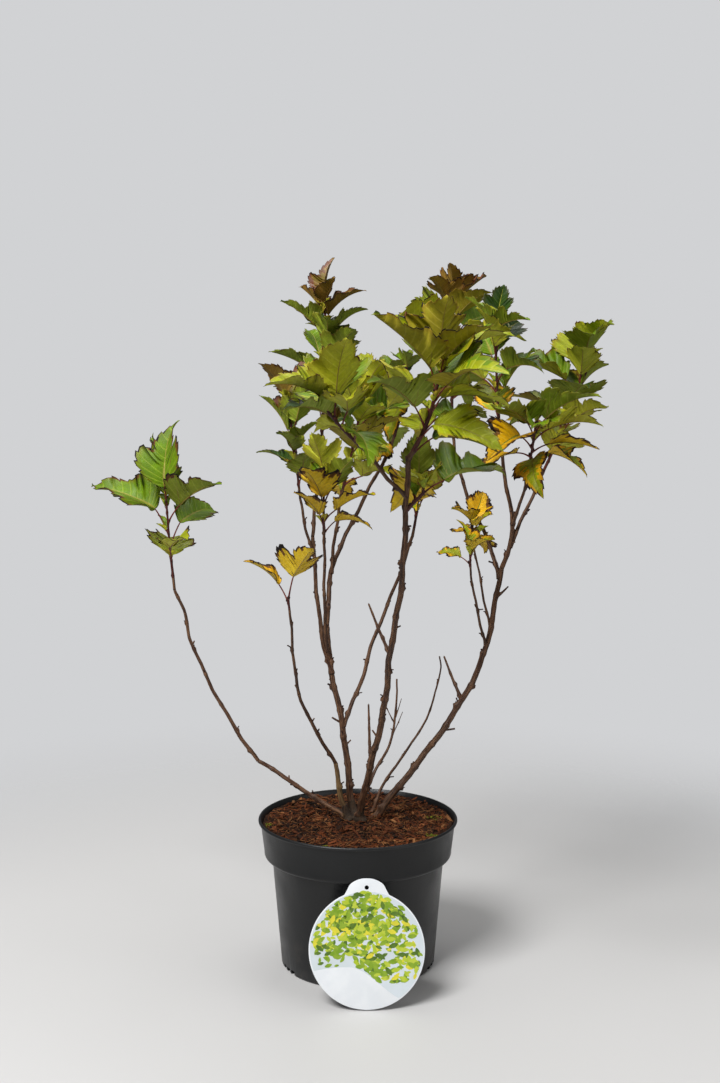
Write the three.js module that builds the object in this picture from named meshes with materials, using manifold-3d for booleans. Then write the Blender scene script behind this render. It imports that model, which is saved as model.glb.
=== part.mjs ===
// A young ninebark shrub in its round nursery pot, with a hang label leaning on the front.
// Units are millimetres and +Z is up. The origin is the middle of the pot's flat underside,
// -Y is the front and +X is the right-hand side.
import * as THREE from "three";
import { mergeVertices } from "three/addons/utils/BufferGeometryUtils.js";
import Module from "manifold-3d";

const wasm = await Module();
wasm.setup();

// Clearance kept between solids that touch on the real plant
const gap = 0.3;

// The pot: a tapered body under a wider collar with a rolled lip, and groups of drain slots
// round its foot. firstGroup and slotPitch are headings in degrees.
const pot = {
  height: 140,
  baseRadius: 72.6,
  bodyTopRadius: 81.2,
  collarHeight: 35,
  collarFootRadius: 88,
  collarTopRadius: 91.8,
  lipRadius: 94,
  lipHeight: 3.2,
  wall: 1.8,
  floor: 2.5,
  edge: 1.2,
  sides: 48,
  slotGroups: 8,
  slotsInGroup: 3,
  firstGroup: 27,
  slotPitch: 6.6,
  slotWidth: 6.2,
  slotHeight: 4.5,
};

// The potting mix fills the pot to just under the lip and is level where the stems stand
const soil = { level: 136.5, edgeLevel: 135.5, flatRadius: 46, sides: 48 };

// The label: a round card with a hanging tab, standing on its edge and leaning on the collar
const label = {
  radius: 51.5,
  tabHalfWidth: 20,
  tabTop: 62,
  tabCrown: 2.5,
  tabCorner: 9,
  holeRadius: 1.9,
  holeDrop: 8,
  thickness: 0.8,
  footFront: 117.4,
  lean: 14.4,
  offset: 8,
};

// The woody crown: the flared foot that the crown's four stems share
const crownFoot = { reach: 17, flare: 2.6, swell: 1.25 };

// How finely limbs are traced and sectioned
const detail = { trace: 24, space: 8, limbStep: 30, limbSides: 6, shootSides: 4, shootSteps: 5 };

// Limbs. path: points on the centreline. on: the limb that carries it, joined at the height "at",
// or at its tip where there is no "at". thick: radius at the foot and at the tip.
// spurs: pruned side stubs, each [height on the limb, heading, climb above level, length].
const limbs = [
  {
    name: "main_left_stem",
    on: "crown_foot",
    path: [[-2, 1, 133], [-6, 9, 152], [-14, 18, 219], [-28, 30, 294], [-27, 46, 359], [-22, 50, 379]],
    thick: [3.3, 2.1],
    spurs: [[226, 195, 28, 11], [205, 20, 35, 7], [263, 160, 40, 6]],
  },
  {
    name: "old_left_stem",
    on: "crown_foot",
    path: [[-4, -2, 133], [-10, -3, 144], [-17, -4, 166], [-21, -1, 192]],
    thick: [2.9, 2.0],
    spurs: [],
  },
  {
    name: "front_stem",
    on: "crown_foot",
    path: [[0, -3, 133], [7, -18, 174], [23, -52, 253], [29, -84, 318], [37, -116, 378], [41, -168, 489]],
    thick: [3.2, 2.2],
    spurs: [[312, 150, 62, 46], [196, 100, 80, 54], [338, 350, 20, 6], [227, 170, 50, 8], [404, 40, 40, 5]],
  },
  {
    name: "low_left_foot",
    on: "crown_foot",
    path: [[-3, -2, 134], [-14, 0, 143], [-48, 10, 159], [-70, 14, 175], [-95, 18, 189]],
    thick: [2.3, 1.9],
    spurs: [[172, 90, 60, 4]],
  },
  {
    name: "low_left_rise",
    on: "low_left_foot",
    path: [[-113, 20, 214], [-139, 24, 259], [-159, 28, 304], [-165, 30, 330], [-174, 30, 352]],
    thick: [1.9, 1.4],
    spurs: [[232, 200, 60, 4], [300, 10, 60, 4]],
  },
  {
    name: "short_left_twig",
    on: "old_left_stem",
    path: [[-31, -11, 212], [-44, -22, 238], [-55, -38, 273], [-58, -56, 312], [-60, -75, 350]],
    thick: [1.8, 1.1],
    spurs: [[236, 20, 50, 5], [272, 180, 50, 4]],
  },
  {
    name: "tall_left_lower",
    on: "main_left_stem",
    at: 272,
    path: [[-34, 27, 308], [-40, 32, 361], [-43, 38, 402]],
    thick: [2.2, 1.7],
    spurs: [],
  },
  {
    name: "tall_left_stem",
    on: "tall_left_lower",
    path: [[-40, 49, 437], [-35, 60, 480]],
    thick: [1.7, 1.5],
    spurs: [],
  },
  {
    name: "side_left_stem",
    on: "tall_left_lower",
    at: 384,
    path: [[-50, 30, 415], [-54, 22, 440]],
    thick: [1.4, 1.2],
    spurs: [],
  },
  {
    name: "mid_left_stem",
    on: "main_left_stem",
    at: 284,
    path: [[-31, 14, 322], [-31, 2, 362], [-31, -12, 410]],
    thick: [1.7, 1.3],
    spurs: [],
  },
  {
    name: "centre_back_stem",
    on: "main_left_stem",
    path: [[-12, 60, 400], [1, 72, 426], [21, 88, 463], [32, 96, 484]],
    thick: [2.0, 1.5],
    spurs: [[440, 240, 30, 5]],
  },
  {
    name: "inner_stem",
    on: "main_left_stem",
    at: 366,
    path: [[-22, 38, 400], [-17, 30, 436]],
    thick: [1.7, 1.4],
    spurs: [],
  },
  {
    name: "crossing_stem",
    on: "main_left_stem",
    at: 222,
    path: [[3, 34, 263], [16, 50, 303], [33, 62, 343], [46, 66, 378], [53, 66, 400]],
    thick: [2.0, 1.5],
    spurs: [[262, 20, 50, 4], [316, 10, 50, 5]],
  },
  {
    name: "front_left_fork",
    on: "front_stem",
    at: 458,
    path: [[26, -168, 473], [6, -184, 498]],
    thick: [1.7, 1.5],
    spurs: [],
  },
  {
    name: "right_stem",
    on: "soil",
    path: [[15, 9, 133], [30, 15, 153], [66, 24, 197], [98, 32, 242], [120, 36, 287], [137, 38, 372]],
    thick: [3.3, 2.4],
    spurs: [[217, 350, 4, 12], [344, 330, 40, 16], [245, 130, 55, 44], [306, 80, 50, 5]],
  },
  {
    name: "right_upper_stem",
    on: "right_stem",
    path: [[146, 38, 398], [146, 38, 420], [137, 30, 467]],
    thick: [2.3, 1.7],
    spurs: [[396, 320, 15, 5]],
  },
  {
    name: "right_front_fork",
    on: "right_upper_stem",
    at: 414,
    path: [[153, 20, 438], [156, 6, 458]],
    thick: [1.6, 1.3],
    spurs: [],
  },
  {
    name: "right_outer_stem",
    on: "right_upper_stem",
    at: 392,
    path: [[161, 46, 428], [176, 54, 460]],
    thick: [1.8, 1.5],
    spurs: [],
  },
  {
    name: "right_back_stem",
    on: "right_stem",
    at: 362,
    path: [[127, 52, 392], [110, 74, 428], [97, 92, 470], [94, 98, 492]],
    thick: [2.0, 1.5],
    spurs: [[430, 150, 30, 5]],
  },
  {
    name: "yellow_leaf_twig",
    on: "right_stem",
    at: 296,
    path: [[117, 26, 318], [109, 14, 350], [105, 6, 376]],
    thick: [1.4, 1.0],
    spurs: [[338, 200, 50, 3]],
  },
  {
    name: "slender_right_twig",
    on: "right_stem",
    at: 314,
    path: [[120, 43, 346], [116, 47, 366], [111, 49, 392]],
    thick: [1.2, 0.9],
    spurs: [[358, 10, 50, 3]],
  },
  {
    name: "bare_front_twig",
    on: "front_stem",
    at: 164,
    path: [[18, -4, 188], [28, 8, 204], [35, 16, 226], [37, 22, 268]],
    thick: [1.6, 0.8],
    spurs: [[214, 30, 60, 24], [226, 200, 62, 26], [232, 330, 70, 18]],
  },
  {
    name: "bare_right_twig",
    on: "soil",
    path: [[12, 25, 133], [28, 34, 167], [59, 44, 210], [74, 50, 243], [80, 51, 274], [79, 51, 284]],
    thick: [1.5, 0.7],
    spurs: [],
  },
];

// Leafy shoots: each carries one mass of leaves up its axis from the tip of its limb, or from the
// height "at" on it. leaves: how many grow, the lowest at the share "from" of the axis.
// blade: the longest, and tip: the youngest as a share of it. turn: heading of the lowest leaf.
// lift: how far the blades rise above the usual climb. ageing: where a shoot's leaves don't age
// as the others do, its own values.
const shoots = [
  {
    name: "low_left_leaves",
    on: "low_left_rise",
    path: [[-178, 30, 395], [-180, 25, 440]],
    grow: { leaves: 8, from: 0.16, blade: 59, tip: 0.75, turn: 115, lift: 27, seed: 44 },
  },
  {
    name: "two_leaf_tip",
    on: "short_left_twig",
    path: [[-61, -77, 360]],
    ageing: { stalk: [0.5, 0.56], stalkClimb: [60, 66], climb: [37, 41] },
    grow: { leaves: 2, from: 0.7, blade: 50, tip: 0.95, turn: 159, lift: 12, seed: 495 },
  },
  {
    name: "tall_left_leaves",
    on: "tall_left_stem",
    path: [[-33, 72, 545], [-31, 85, 628]],
    grow: { leaves: 16, from: 0.14, blade: 48, tip: 0.6, turn: 330, lift: 12, seed: 649 },
  },
  {
    name: "side_left_leaves",
    on: "side_left_stem",
    path: [[-58, 14, 480], [-66, 10, 535]],
    grow: { leaves: 12, from: 0.14, blade: 46, tip: 0.75, turn: 295, lift: 28, seed: 361 },
  },
  {
    name: "mid_left_leaves",
    on: "mid_left_stem",
    path: [[-31, -26, 434], [-30, -41, 465]],
    grow: { leaves: 13, from: 0.02, blade: 47, tip: 0.75, turn: 45, lift: 29, seed: 732 },
  },
  {
    name: "inner_leaves",
    on: "inner_stem",
    path: [[-6, 18, 485], [8, 8, 545]],
    grow: { leaves: 15, from: 0.06, blade: 56, tip: 0.6, turn: 155, lift: 8, seed: 148 },
  },
  {
    name: "centre_back_leaves",
    on: "centre_back_stem",
    path: [[42, 102, 515], [48, 108, 560]],
    grow: { leaves: 10, from: 0.02, blade: 50, tip: 0.5, turn: 260, lift: -15, seed: 861 },
  },
  {
    name: "crossing_leaves",
    on: "crossing_stem",
    path: [[57, 62, 425], [59, 57, 454]],
    grow: { leaves: 10, from: 0.36, blade: 57, tip: 0.7, turn: 250, lift: 21, seed: 842 },
  },
  {
    name: "front_low_leaves",
    on: "front_stem",
    at: 446,
    path: [[54, -158, 462]],
    grow: { leaves: 5, from: 0.52, blade: 63, tip: 0.55, turn: 95, lift: -2, seed: 511 },
  },
  {
    name: "front_left_leaves",
    on: "front_left_fork",
    path: [[-12, -196, 516], [-28, -206, 536]],
    grow: { leaves: 12, from: 0.12, blade: 59, tip: 0.6, turn: 135, lift: 6, seed: 98 },
  },
  {
    name: "front_right_leaves",
    on: "front_stem",
    path: [[55, -182, 519], [65, -196, 558]],
    grow: { leaves: 14, from: 0.02, blade: 66, tip: 0.85, turn: 10, lift: 9, seed: 536 },
  },
  {
    name: "right_tall_leaves",
    on: "right_upper_stem",
    path: [[130, 20, 529], [126, 12, 606]],
    grow: { leaves: 15, from: 0.12, blade: 50, tip: 0.55, turn: 175, lift: 22, seed: 561 },
  },
  {
    name: "right_front_leaves",
    on: "right_front_fork",
    path: [[158, -12, 484], [160, -30, 512]],
    grow: { leaves: 13, from: 0.28, blade: 55, tip: 0.85, turn: 280, lift: -10, seed: 310 },
  },
  {
    name: "right_outer_leaves",
    on: "right_outer_stem",
    path: [[201, 62, 514], [222, 66, 567]],
    grow: { leaves: 14, from: 0.02, blade: 50, tip: 0.95, turn: 265, lift: 30, seed: 181 },
  },
  {
    name: "right_back_leaves",
    on: "right_back_stem",
    path: [[92, 104, 545], [92, 110, 622]],
    grow: { leaves: 18, from: 0.3, blade: 54, tip: 0.7, turn: 330, lift: 10, seed: 924 },
  },
  {
    name: "yellow_twig_leaves",
    on: "yellow_leaf_twig",
    path: [[104, 2, 392]],
    grow: { leaves: 4, from: 0.22, blade: 34, tip: 0.85, turn: 155, lift: 15, seed: 996 },
  },
  {
    name: "slender_twig_leaves",
    on: "slender_right_twig",
    path: [[109, 50, 410]],
    grow: { leaves: 6, from: 0.2, blade: 43, tip: 0.85, turn: 15, lift: -11, seed: 886 },
  },
];

// The leaf: half its outline from tip to foot, as [angle from the midrib, reach] about the
// point where the stalk joins, for a blade one unit long with two side lobes
const leafOutline = [
  [0, 1.0], [23, 0.56], [40, 0.65], [66, 0.34], [180, 0.02],
];
const leaf = {
  heart: 0.25, // how far up the midrib the blade is thickest
  thickness: 1.4,
  stalkRadius: [0.9, 0.25],
  sunk: 0.2, // how far up the blade the stalk's tip is sunk
  divergence: 144, // turn from each leaf to the next up the shoot
  crowding: 1.35, // how much closer the leaves stand towards the tip
  clearOfLimbs: 4,
  clearOfNeighbours: 2.5,
  clearOfLeaves: 5.5,
};

// What changes from the oldest leaf of a shoot to the youngest. Angles are in degrees; stalk,
// fold and arch are shares of the blade.
const ageing = {
  stalk: [0.46, 0.26],
  stalkClimb: [28, 66],
  climb: [4, 56],
  climbEase: 1.2,
  fold: [0.3, 0.65],
  arch: [0.65, 0.4],
  oldestSize: 0.82,
};

// How far each leaf may stray from its shoot's rule, either way
const stray = { heading: 20, stalk: 10, climb: 16, veer: 24, roll: 28, fold: 0.12, arch: 0.2, size: 0.1 };
const straying = Object.keys(stray);

// What a leaf without room tries in turn: smaller, swung round the shoot, raised or lowered
const tries = { sizes: [1, 0.85, 0.7], swings: [0, 24, -24, 48, -48, 72, -72], raises: [0, 18, -14] };

// Repeatable random numbers between 0 and 1
function seededRandom(seed) {
  let state = seed >>> 0;
  return () => {
    state = (Math.imul(state, 1664525) + 1013904223) >>> 0;
    return state / 4294967296;
  };
}

const radians = THREE.MathUtils.degToRad;
const mix = THREE.MathUtils.lerp;
const vector = (p) => new THREE.Vector3(...p);

// Turns a closed three.js geometry into a solid that can be joined and cut
function toSolid(geometry) {
  const bare = geometry.index ? geometry.toNonIndexed() : geometry.clone();
  bare.deleteAttribute("normal");
  bare.deleteAttribute("uv");
  const merged = mergeVertices(bare, 1e-4);
  const triVerts = new Uint32Array(merged.index.array);
  const mesh = new wasm.Mesh({ numProp: 3, vertProperties: merged.attributes.position.array, triVerts });
  return new wasm.Manifold(mesh);
}

// Turns a solid back into a geometry, keeping only its largest piece
function toGeometry(solid) {
  const pieces = solid.decompose();
  pieces.sort((a, b) => b.volume() - a.volume());
  const mesh = pieces[0].getMesh();
  const geometry = new THREE.BufferGeometry();
  geometry.setAttribute("position", new THREE.BufferAttribute(new Float32Array(mesh.vertProperties), 3));
  geometry.setIndex(new THREE.BufferAttribute(new Uint32Array(mesh.triVerts), 1));
  geometry.computeVertexNormals();
  return geometry;
}

// Evenly spaced points along the smooth curve through a path
function spacedPoints(path, count) {
  return new THREE.CatmullRomCurve3(path).getSpacedPoints(count);
}

// The point a given share of the way along evenly spaced points
function pointAlong(points, share) {
  const place = Math.min(Math.max(share, 0), 1) * (points.length - 1);
  const from = Math.min(Math.floor(place), points.length - 2);
  return points[from].clone().lerp(points[from + 1], place - from);
}

// The point where a rising limb passes a height
function pointAtHeight(points, height) {
  const upper = points.findIndex((p) => p.z >= height);
  const from = points[upper - 1];
  return from.clone().lerp(points[upper], (height - from.z) / (points[upper].z - from.z));
}

// A tapered round tube along a path: a closed cylinder whose rings are carried onto the curve.
// grow widens and lengthens it, to cut a neighbour clear of it.
function tube(path, radiusAt, sides, steps, grow = 0) {
  const curve = new THREE.CatmullRomCurve3(path);
  const frames = curve.computeFrenetFrames(steps, false);
  const rings = curve.getSpacedPoints(steps);
  rings[0].addScaledVector(frames.tangents[0], -grow);
  rings[steps].addScaledVector(frames.tangents[steps], grow);
  const geometry = new THREE.CylinderGeometry(1, 1, 1, sides, steps);
  const position = geometry.attributes.position;
  for (let i = 0; i < position.count; i++) {
    const share = position.getY(i) + 0.5;
    const ring = Math.round(share * steps);
    const radius = radiusAt(share) + grow;
    const place = rings[ring].clone();
    place.addScaledVector(frames.binormals[ring], position.getX(i) * radius);
    place.addScaledVector(frames.normals[ring], position.getZ(i) * radius);
    position.setXYZ(i, place.x, place.y, place.z);
  }
  return toSolid(geometry);
}

const taper = ([foot, tip]) => (share) => mix(foot, tip, share);

// The direction with a compass heading (0 is +X, 90 is +Y) and a climb above level, in degrees
function direction(heading, climb) {
  const level = Math.cos(radians(climb));
  return new THREE.Vector3(
    Math.cos(radians(heading)) * level,
    Math.sin(radians(heading)) * level,
    Math.sin(radians(climb)),
  );
}

// Gives each limb its full path, starting on the centreline of what carries it
function traceLimbs() {
  const traced = new Map();
  for (const limb of limbs) {
    const path = limb.path.map(vector);
    const carrier = traced.get(limb.on);
    if (carrier) {
      const tip = carrier.points[carrier.points.length - 1];
      path.unshift(limb.at ? pointAtHeight(carrier.points, limb.at) : tip.clone());
    }
    traced.set(limb.name, { ...limb, path, points: spacedPoints(path, detail.trace) });
  }
  return traced;
}

const tracedLimbs = traceLimbs();

function limbSteps(limb) {
  const curve = new THREE.CatmullRomCurve3(limb.path);
  return Math.max(3, Math.round(curve.getLength() / detail.limbStep));
}

// A pruned stub or dead side twig that stays on its limb
function spurSolid(limb, [height, heading, climb, length], grow) {
  const foot = pointAtHeight(limb.points, height);
  const way = direction(heading, climb);
  const bend = foot.clone().addScaledVector(way, length * 0.5);
  const tip = foot.clone().addScaledVector(way, length);
  tip.z += length * 0.06;
  const thick = Math.min(limb.thick[1] * 0.75, 0.6 + length * 0.05);
  return tube([foot, bend, tip], taper([thick, thick * 0.5]), 4, length > 15 ? 3 : 2, grow);
}

// The first stretch of a stem, flared where it meets the soil
function flareSolid(limb, reach, grow) {
  const curve = new THREE.CatmullRomCurve3(limb.path);
  const path = [0, 0.5, 1].map((part) => curve.getPointAt((part * reach) / curve.getLength()));
  const [foot] = limb.thick;
  const radiusAt = (part) => foot * crownFoot.swell + crownFoot.flare * (1 - part) ** 2;
  return tube(path, radiusAt, 7, 3, grow);
}

// The flared feet of the stems on the crown, fused into one
function crownFootSolid(grow = 0) {
  const onCrown = [...tracedLimbs.values()].filter((limb) => limb.on === "crown_foot");
  return wasm.Manifold.union(onCrown.map((limb) => flareSolid(limb, crownFoot.reach, grow)));
}

// A whole limb with its spurs, and its own flare where it stands alone in the soil
function limbSolid(limb, grow = 0) {
  const parts = [tube(limb.path, taper(limb.thick), detail.limbSides, limbSteps(limb), grow)];
  for (const spur of limb.spurs) parts.push(spurSolid(limb, spur, grow));
  if (limb.on === "soil") parts.push(flareSolid(limb, crownFoot.reach / 2, grow));
  return wasm.Manifold.union(parts);
}

// Cuts away everything under the level of the soil
function cutAtSoil(solid) {
  return solid.trimByPlane([0, 0, 1], soil.level + gap);
}

// Every limb in turn, each cut clear of the crown's foot and of the limbs before it
function limbPieces() {
  const pieces = new Map();
  const taken = [crownFootSolid(gap)];
  for (const limb of tracedLimbs.values()) {
    const solid = limbSolid(limb).subtract(wasm.Manifold.union(taken));
    pieces.set(limb.name, cutAtSoil(solid));
    taken.push(limbSolid(limb, gap));
  }
  return { pieces, taken: wasm.Manifold.union(taken) };
}

// Gives each shoot its axis, starting on its limb
function traceShoots() {
  return shoots.map((shoot) => {
    const limb = tracedLimbs.get(shoot.on);
    const tip = limb.points[limb.points.length - 1];
    const start = shoot.at ? pointAtHeight(limb.points, shoot.at) : tip.clone();
    const path = [start, ...shoot.path.map(vector)];
    const thick = [limb.thick[1], 0.9];
    return { ...shoot, path, thick, points: spacedPoints(path, detail.trace) };
  });
}

const tracedShoots = traceShoots();

// Distance from a point to a chain of straight stretches
function distanceTo(point, chain) {
  let nearest = Infinity;
  const line = new THREE.Line3();
  const foot = new THREE.Vector3();
  for (let i = 0; i + 1 < chain.length; i++) {
    line.set(chain[i], chain[i + 1]);
    line.closestPointToPoint(point, true, foot);
    nearest = Math.min(nearest, foot.distanceTo(point));
  }
  return nearest;
}

const limbChains = [...tracedLimbs.values()].map((limb) => ({
  chain: spacedPoints(limb.path, detail.space),
  radius: limb.thick[0],
}));
const shootChains = tracedShoots.map((shoot) => spacedPoints(shoot.path, detail.space));

// Where a spot of the blade lies: across and up are shares of the blade's length
function bladePoint(blade, across, up) {
  const forward = Math.sin(blade.arch * up) / blade.arch;
  const drop = (1 - Math.cos(blade.arch * up)) / blade.arch;
  return blade.base
    .clone()
    .addScaledVector(blade.along, forward * blade.length)
    .addScaledVector(blade.side, across * blade.length)
    .addScaledVector(blade.face, (blade.fold * Math.abs(across) - drop) * blade.length);
}

// One leaf of a shoot. share is 0 for the lowest, oldest leaf and 1 for the youngest.
function growLeaf(shoot, share, heading, lift, size, astray) {
  const { from, blade, tip } = shoot.grow;
  const years = { ...ageing, ...shoot.ageing };
  const foot = pointAlong(shoot.points, mix(from, 1, 1 - (1 - share) ** leaf.crowding));
  const age = share < 0.5 ? mix(years.oldestSize, 1, share * 2) : mix(1, tip, share * 2 - 1);
  const length = blade * size * age * (1 + astray.size);
  const climb = mix(...years.climb, share ** years.climbEase) + lift + astray.climb;
  const stalk = direction(heading, mix(...years.stalkClimb, share) + lift / 2 + astray.stalk);
  const along = direction(heading + astray.veer, climb);
  const level = new THREE.Vector3().crossVectors(along, new THREE.Vector3(0, 0, 1)).normalize();
  const side = level.clone().applyAxisAngle(along, radians(astray.roll));
  const face = new THREE.Vector3().crossVectors(side, along);
  const base = foot.clone().addScaledVector(stalk, length * mix(...years.stalk, share));
  const fold = mix(...years.fold, share) + astray.fold;
  const arch = mix(...years.arch, share) + astray.arch;
  return { foot, base, along, side, face, length, fold, arch };
}

// Spots spread over a blade, from its foot to its tip, that are tested for room
function testSpots(blade) {
  const rows = [[0.22, 0.3], [0.45, 0.5], [0.65, 0.3], [0.85, 0.16]];
  const spots = rows.flatMap(([up, reach]) =>
    [-1, -0.5, 0, 0.5, 1].map((across) => bladePoint(blade, across * reach, up)),
  );
  return [bladePoint(blade, 0, 0.03), ...spots, bladePoint(blade, 0, 1)];
}

// Whether a leaf stays nearer to its own shoot than to any other, clear of every limb and clear
// of the leaves already on the shoot
function hasRoom(blade, shootIndex, grown) {
  const spots = testSpots(blade);
  for (const spot of spots) {
    const home = distanceTo(spot, shootChains[shootIndex]) + leaf.clearOfNeighbours;
    if (shootChains.some((chain, i) => i !== shootIndex && distanceTo(spot, chain) < home)) return false;
    const touches = ({ chain, radius }) => distanceTo(spot, chain) < radius + leaf.clearOfLimbs;
    if (limbChains.some(touches)) return false;
  }
  const outer = spots.slice(1);
  const held = grown.flatMap(({ taken }) => taken);
  return held.every((spot) => outer.every((own) => own.distanceTo(spot) > leaf.clearOfLeaves));
}

// Grows a shoot's leaves up its axis. A leaf without room is turned or raised, then made smaller,
// then skipped.
function growLeaves(shoot, shootIndex) {
  const { leaves, turn, lift, seed } = shoot.grow;
  const random = seededRandom(seed);
  const attempts = tries.sizes.flatMap((size) =>
    tries.swings.flatMap((swing) => tries.raises.map((raise) => ({ size, swing, raise }))),
  );
  const grown = [];
  for (let k = 0; k < leaves; k++) {
    const share = leaves > 1 ? k / (leaves - 1) : 1;
    const astray = {};
    for (const trait of straying) astray[trait] = stray[trait] * (random() * 2 - 1);
    const heading = turn + k * leaf.divergence + astray.heading;
    for (const { size, swing, raise } of attempts) {
      const blade = growLeaf(shoot, share, heading + swing, lift + raise, size, astray);
      if (!hasRoom(blade, shootIndex, grown)) continue;
      grown.push({ ...blade, taken: testSpots(blade).slice(1) });
      break;
    }
  }
  return grown;
}

// The blade: a flat double cone whose rim follows the leaf's outline and whose poles lie on the
// midrib, above and below
function bladeSolid(blade) {
  const last = leafOutline.length - 1;
  const ring = 2 * last;
  const geometry = new THREE.SphereGeometry(1, ring, 2);
  const position = geometry.attributes.position;
  for (let i = 0; i < position.count; i++) {
    const pole = position.getY(i);
    let place;
    if (Math.abs(pole) > 0.5) {
      place = bladePoint(blade, 0, leaf.heart).addScaledVector(blade.face, (pole * leaf.thickness) / 2);
    } else {
      const turn = Math.atan2(position.getZ(i), -position.getX(i)) / (2 * Math.PI);
      const spot = Math.round(turn * ring + ring) % ring;
      const [angle, reach] = leafOutline[spot <= last ? spot : ring - spot];
      const across = Math.sin(radians(angle)) * reach * (spot <= last ? -1 : 1);
      place = bladePoint(blade, across, Math.cos(radians(angle)) * reach);
    }
    position.setXYZ(i, place.x, place.y, place.z);
  }
  return toSolid(geometry);
}

// The stalk runs from the heart of the shoot into the foot of the blade's midrib
function stalkSolid(blade) {
  return tube([blade.foot, bladePoint(blade, 0, leaf.sunk)], taper(leaf.stalkRadius), 3, 1);
}

// A mass of leaves fused onto its shoot, cut clear of the limbs
function shootPiece(shoot, shootIndex, takenByLimbs) {
  const axis = tube(shoot.path, taper(shoot.thick), detail.shootSides, detail.shootSteps);
  const leaves = growLeaves(shoot, shootIndex);
  const parts = leaves.flatMap((blade) => [stalkSolid(blade), bladeSolid(blade)]);
  return wasm.Manifold.union([axis, ...parts]).subtract(takenByLimbs);
}

// A closed solid of revolution about +Z from a profile of [radius, height] points
function turned(profile, sides) {
  const points = profile.map(([radius, height]) => new THREE.Vector2(radius, height));
  return new THREE.LatheGeometry(points, sides).rotateX(Math.PI / 2);
}

// Radius of the pot's outer wall under the collar, and of the collar
function bodyRadius(height) {
  return mix(pot.baseRadius, pot.bodyTopRadius, height / (pot.height - pot.collarHeight));
}

function collarRadius(height) {
  const rise = (height - pot.height + pot.collarHeight) / (pot.collarHeight - pot.lipHeight);
  return mix(pot.collarFootRadius, pot.collarTopRadius, rise);
}

function potSolid() {
  const ledge = pot.height - pot.collarHeight;
  const lipFoot = pot.height - pot.lipHeight;
  const { wall, floor, edge } = pot;
  const shell = toSolid(
    turned(
      [
        [0, 0],
        [pot.baseRadius - edge, 0],
        [bodyRadius(edge), edge],
        [pot.bodyTopRadius, ledge],
        [pot.collarFootRadius - edge, ledge],
        [pot.collarFootRadius, ledge + edge],
        [pot.collarTopRadius, lipFoot],
        [pot.lipRadius, lipFoot + edge],
        [pot.lipRadius, pot.height - edge],
        [pot.lipRadius - edge, pot.height],
        [collarRadius(pot.height) - wall, pot.height],
        [collarRadius(ledge + wall) - wall, ledge + wall],
        [pot.bodyTopRadius - wall, ledge + wall],
        [bodyRadius(floor) - wall, floor],
        [0, floor],
      ],
      pot.sides,
    ),
  );
  const slots = [];
  for (let group = 0; group < pot.slotGroups; group++) {
    for (let i = 0; i < pot.slotsInGroup; i++) {
      const slot = new THREE.BoxGeometry(4 * wall, pot.slotWidth, 2 * pot.slotHeight);
      slot.translate(pot.baseRadius, 0, 0);
      const aside = (i - (pot.slotsInGroup - 1) / 2) * pot.slotPitch;
      slot.rotateZ(radians(pot.firstGroup + (group * 360) / pot.slotGroups + aside));
      slots.push(toSolid(slot));
    }
  }
  return shell.subtract(wasm.Manifold.union(slots));
}

function soilSolid() {
  const inner = pot.wall + gap;
  const ledge = pot.height - pot.collarHeight + pot.wall + gap;
  const low = pot.floor + gap;
  return toSolid(
    turned(
      [
        [0, low],
        [bodyRadius(low) - inner, low],
        [pot.bodyTopRadius - inner, ledge],
        [collarRadius(ledge) - inner, ledge],
        [collarRadius(soil.edgeLevel) - inner, soil.edgeLevel],
        [soil.flatRadius, soil.level],
        [0, soil.level],
      ],
      soil.sides,
    ),
  );
}

function labelOutline() {
  const { radius, tabHalfWidth, tabTop, tabCorner, tabCrown } = label;
  const meet = Math.acos(tabHalfWidth / radius);
  const shoulder = tabTop - tabCrown;
  const shape = new THREE.Shape();
  shape.absarc(0, 0, radius, Math.PI - meet, meet, false);
  shape.quadraticCurveTo(tabHalfWidth, shoulder, tabHalfWidth - tabCorner, shoulder);
  shape.quadraticCurveTo(0, tabTop + tabCrown, tabCorner - tabHalfWidth, shoulder);
  shape.quadraticCurveTo(-tabHalfWidth, shoulder, -tabHalfWidth, Math.sin(meet) * radius);
  const hole = new THREE.Path();
  hole.absarc(0, tabTop - label.holeDrop, label.holeRadius, 0, 2 * Math.PI, true);
  shape.holes.push(hole);
  return shape;
}

function labelMesh() {
  const geometry = new THREE.ExtrudeGeometry(labelOutline(), {
    depth: label.thickness,
    bevelEnabled: false,
    curveSegments: 10,
  });
  geometry.translate(0, label.radius, -label.thickness);
  const mesh = new THREE.Mesh(geometry);
  mesh.rotation.x = Math.PI / 2 - radians(label.lean);
  mesh.position.set(label.offset, -label.footFront, gap + label.thickness);
  return mesh;
}

const finishes = {
  bark: new THREE.MeshStandardMaterial({ color: 0x6a4a37, roughness: 0.75 }),
  oldBark: new THREE.MeshStandardMaterial({ color: 0x5f5640, roughness: 0.85 }),
  foliage: new THREE.MeshStandardMaterial({ color: 0x8c9c2c, roughness: 0.55 }),
  autumn: new THREE.MeshStandardMaterial({ color: 0xc9a528, roughness: 0.6 }),
  pot: new THREE.MeshStandardMaterial({ color: 0x2c2e30, roughness: 0.5 }),
  soil: new THREE.MeshStandardMaterial({ color: 0x4b2d1c, roughness: 0.95 }),
  label: new THREE.MeshStandardMaterial({ color: 0xeef0ea, roughness: 0.4 }),
};
const oldLimbs = ["old_left_stem", "crown_foot"];
const autumnShoots = ["two_leaf_tip", "yellow_twig_leaves", "slender_twig_leaves"];

function named(name, mesh, finish) {
  mesh.name = name;
  mesh.material = finish;
  return mesh;
}

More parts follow.
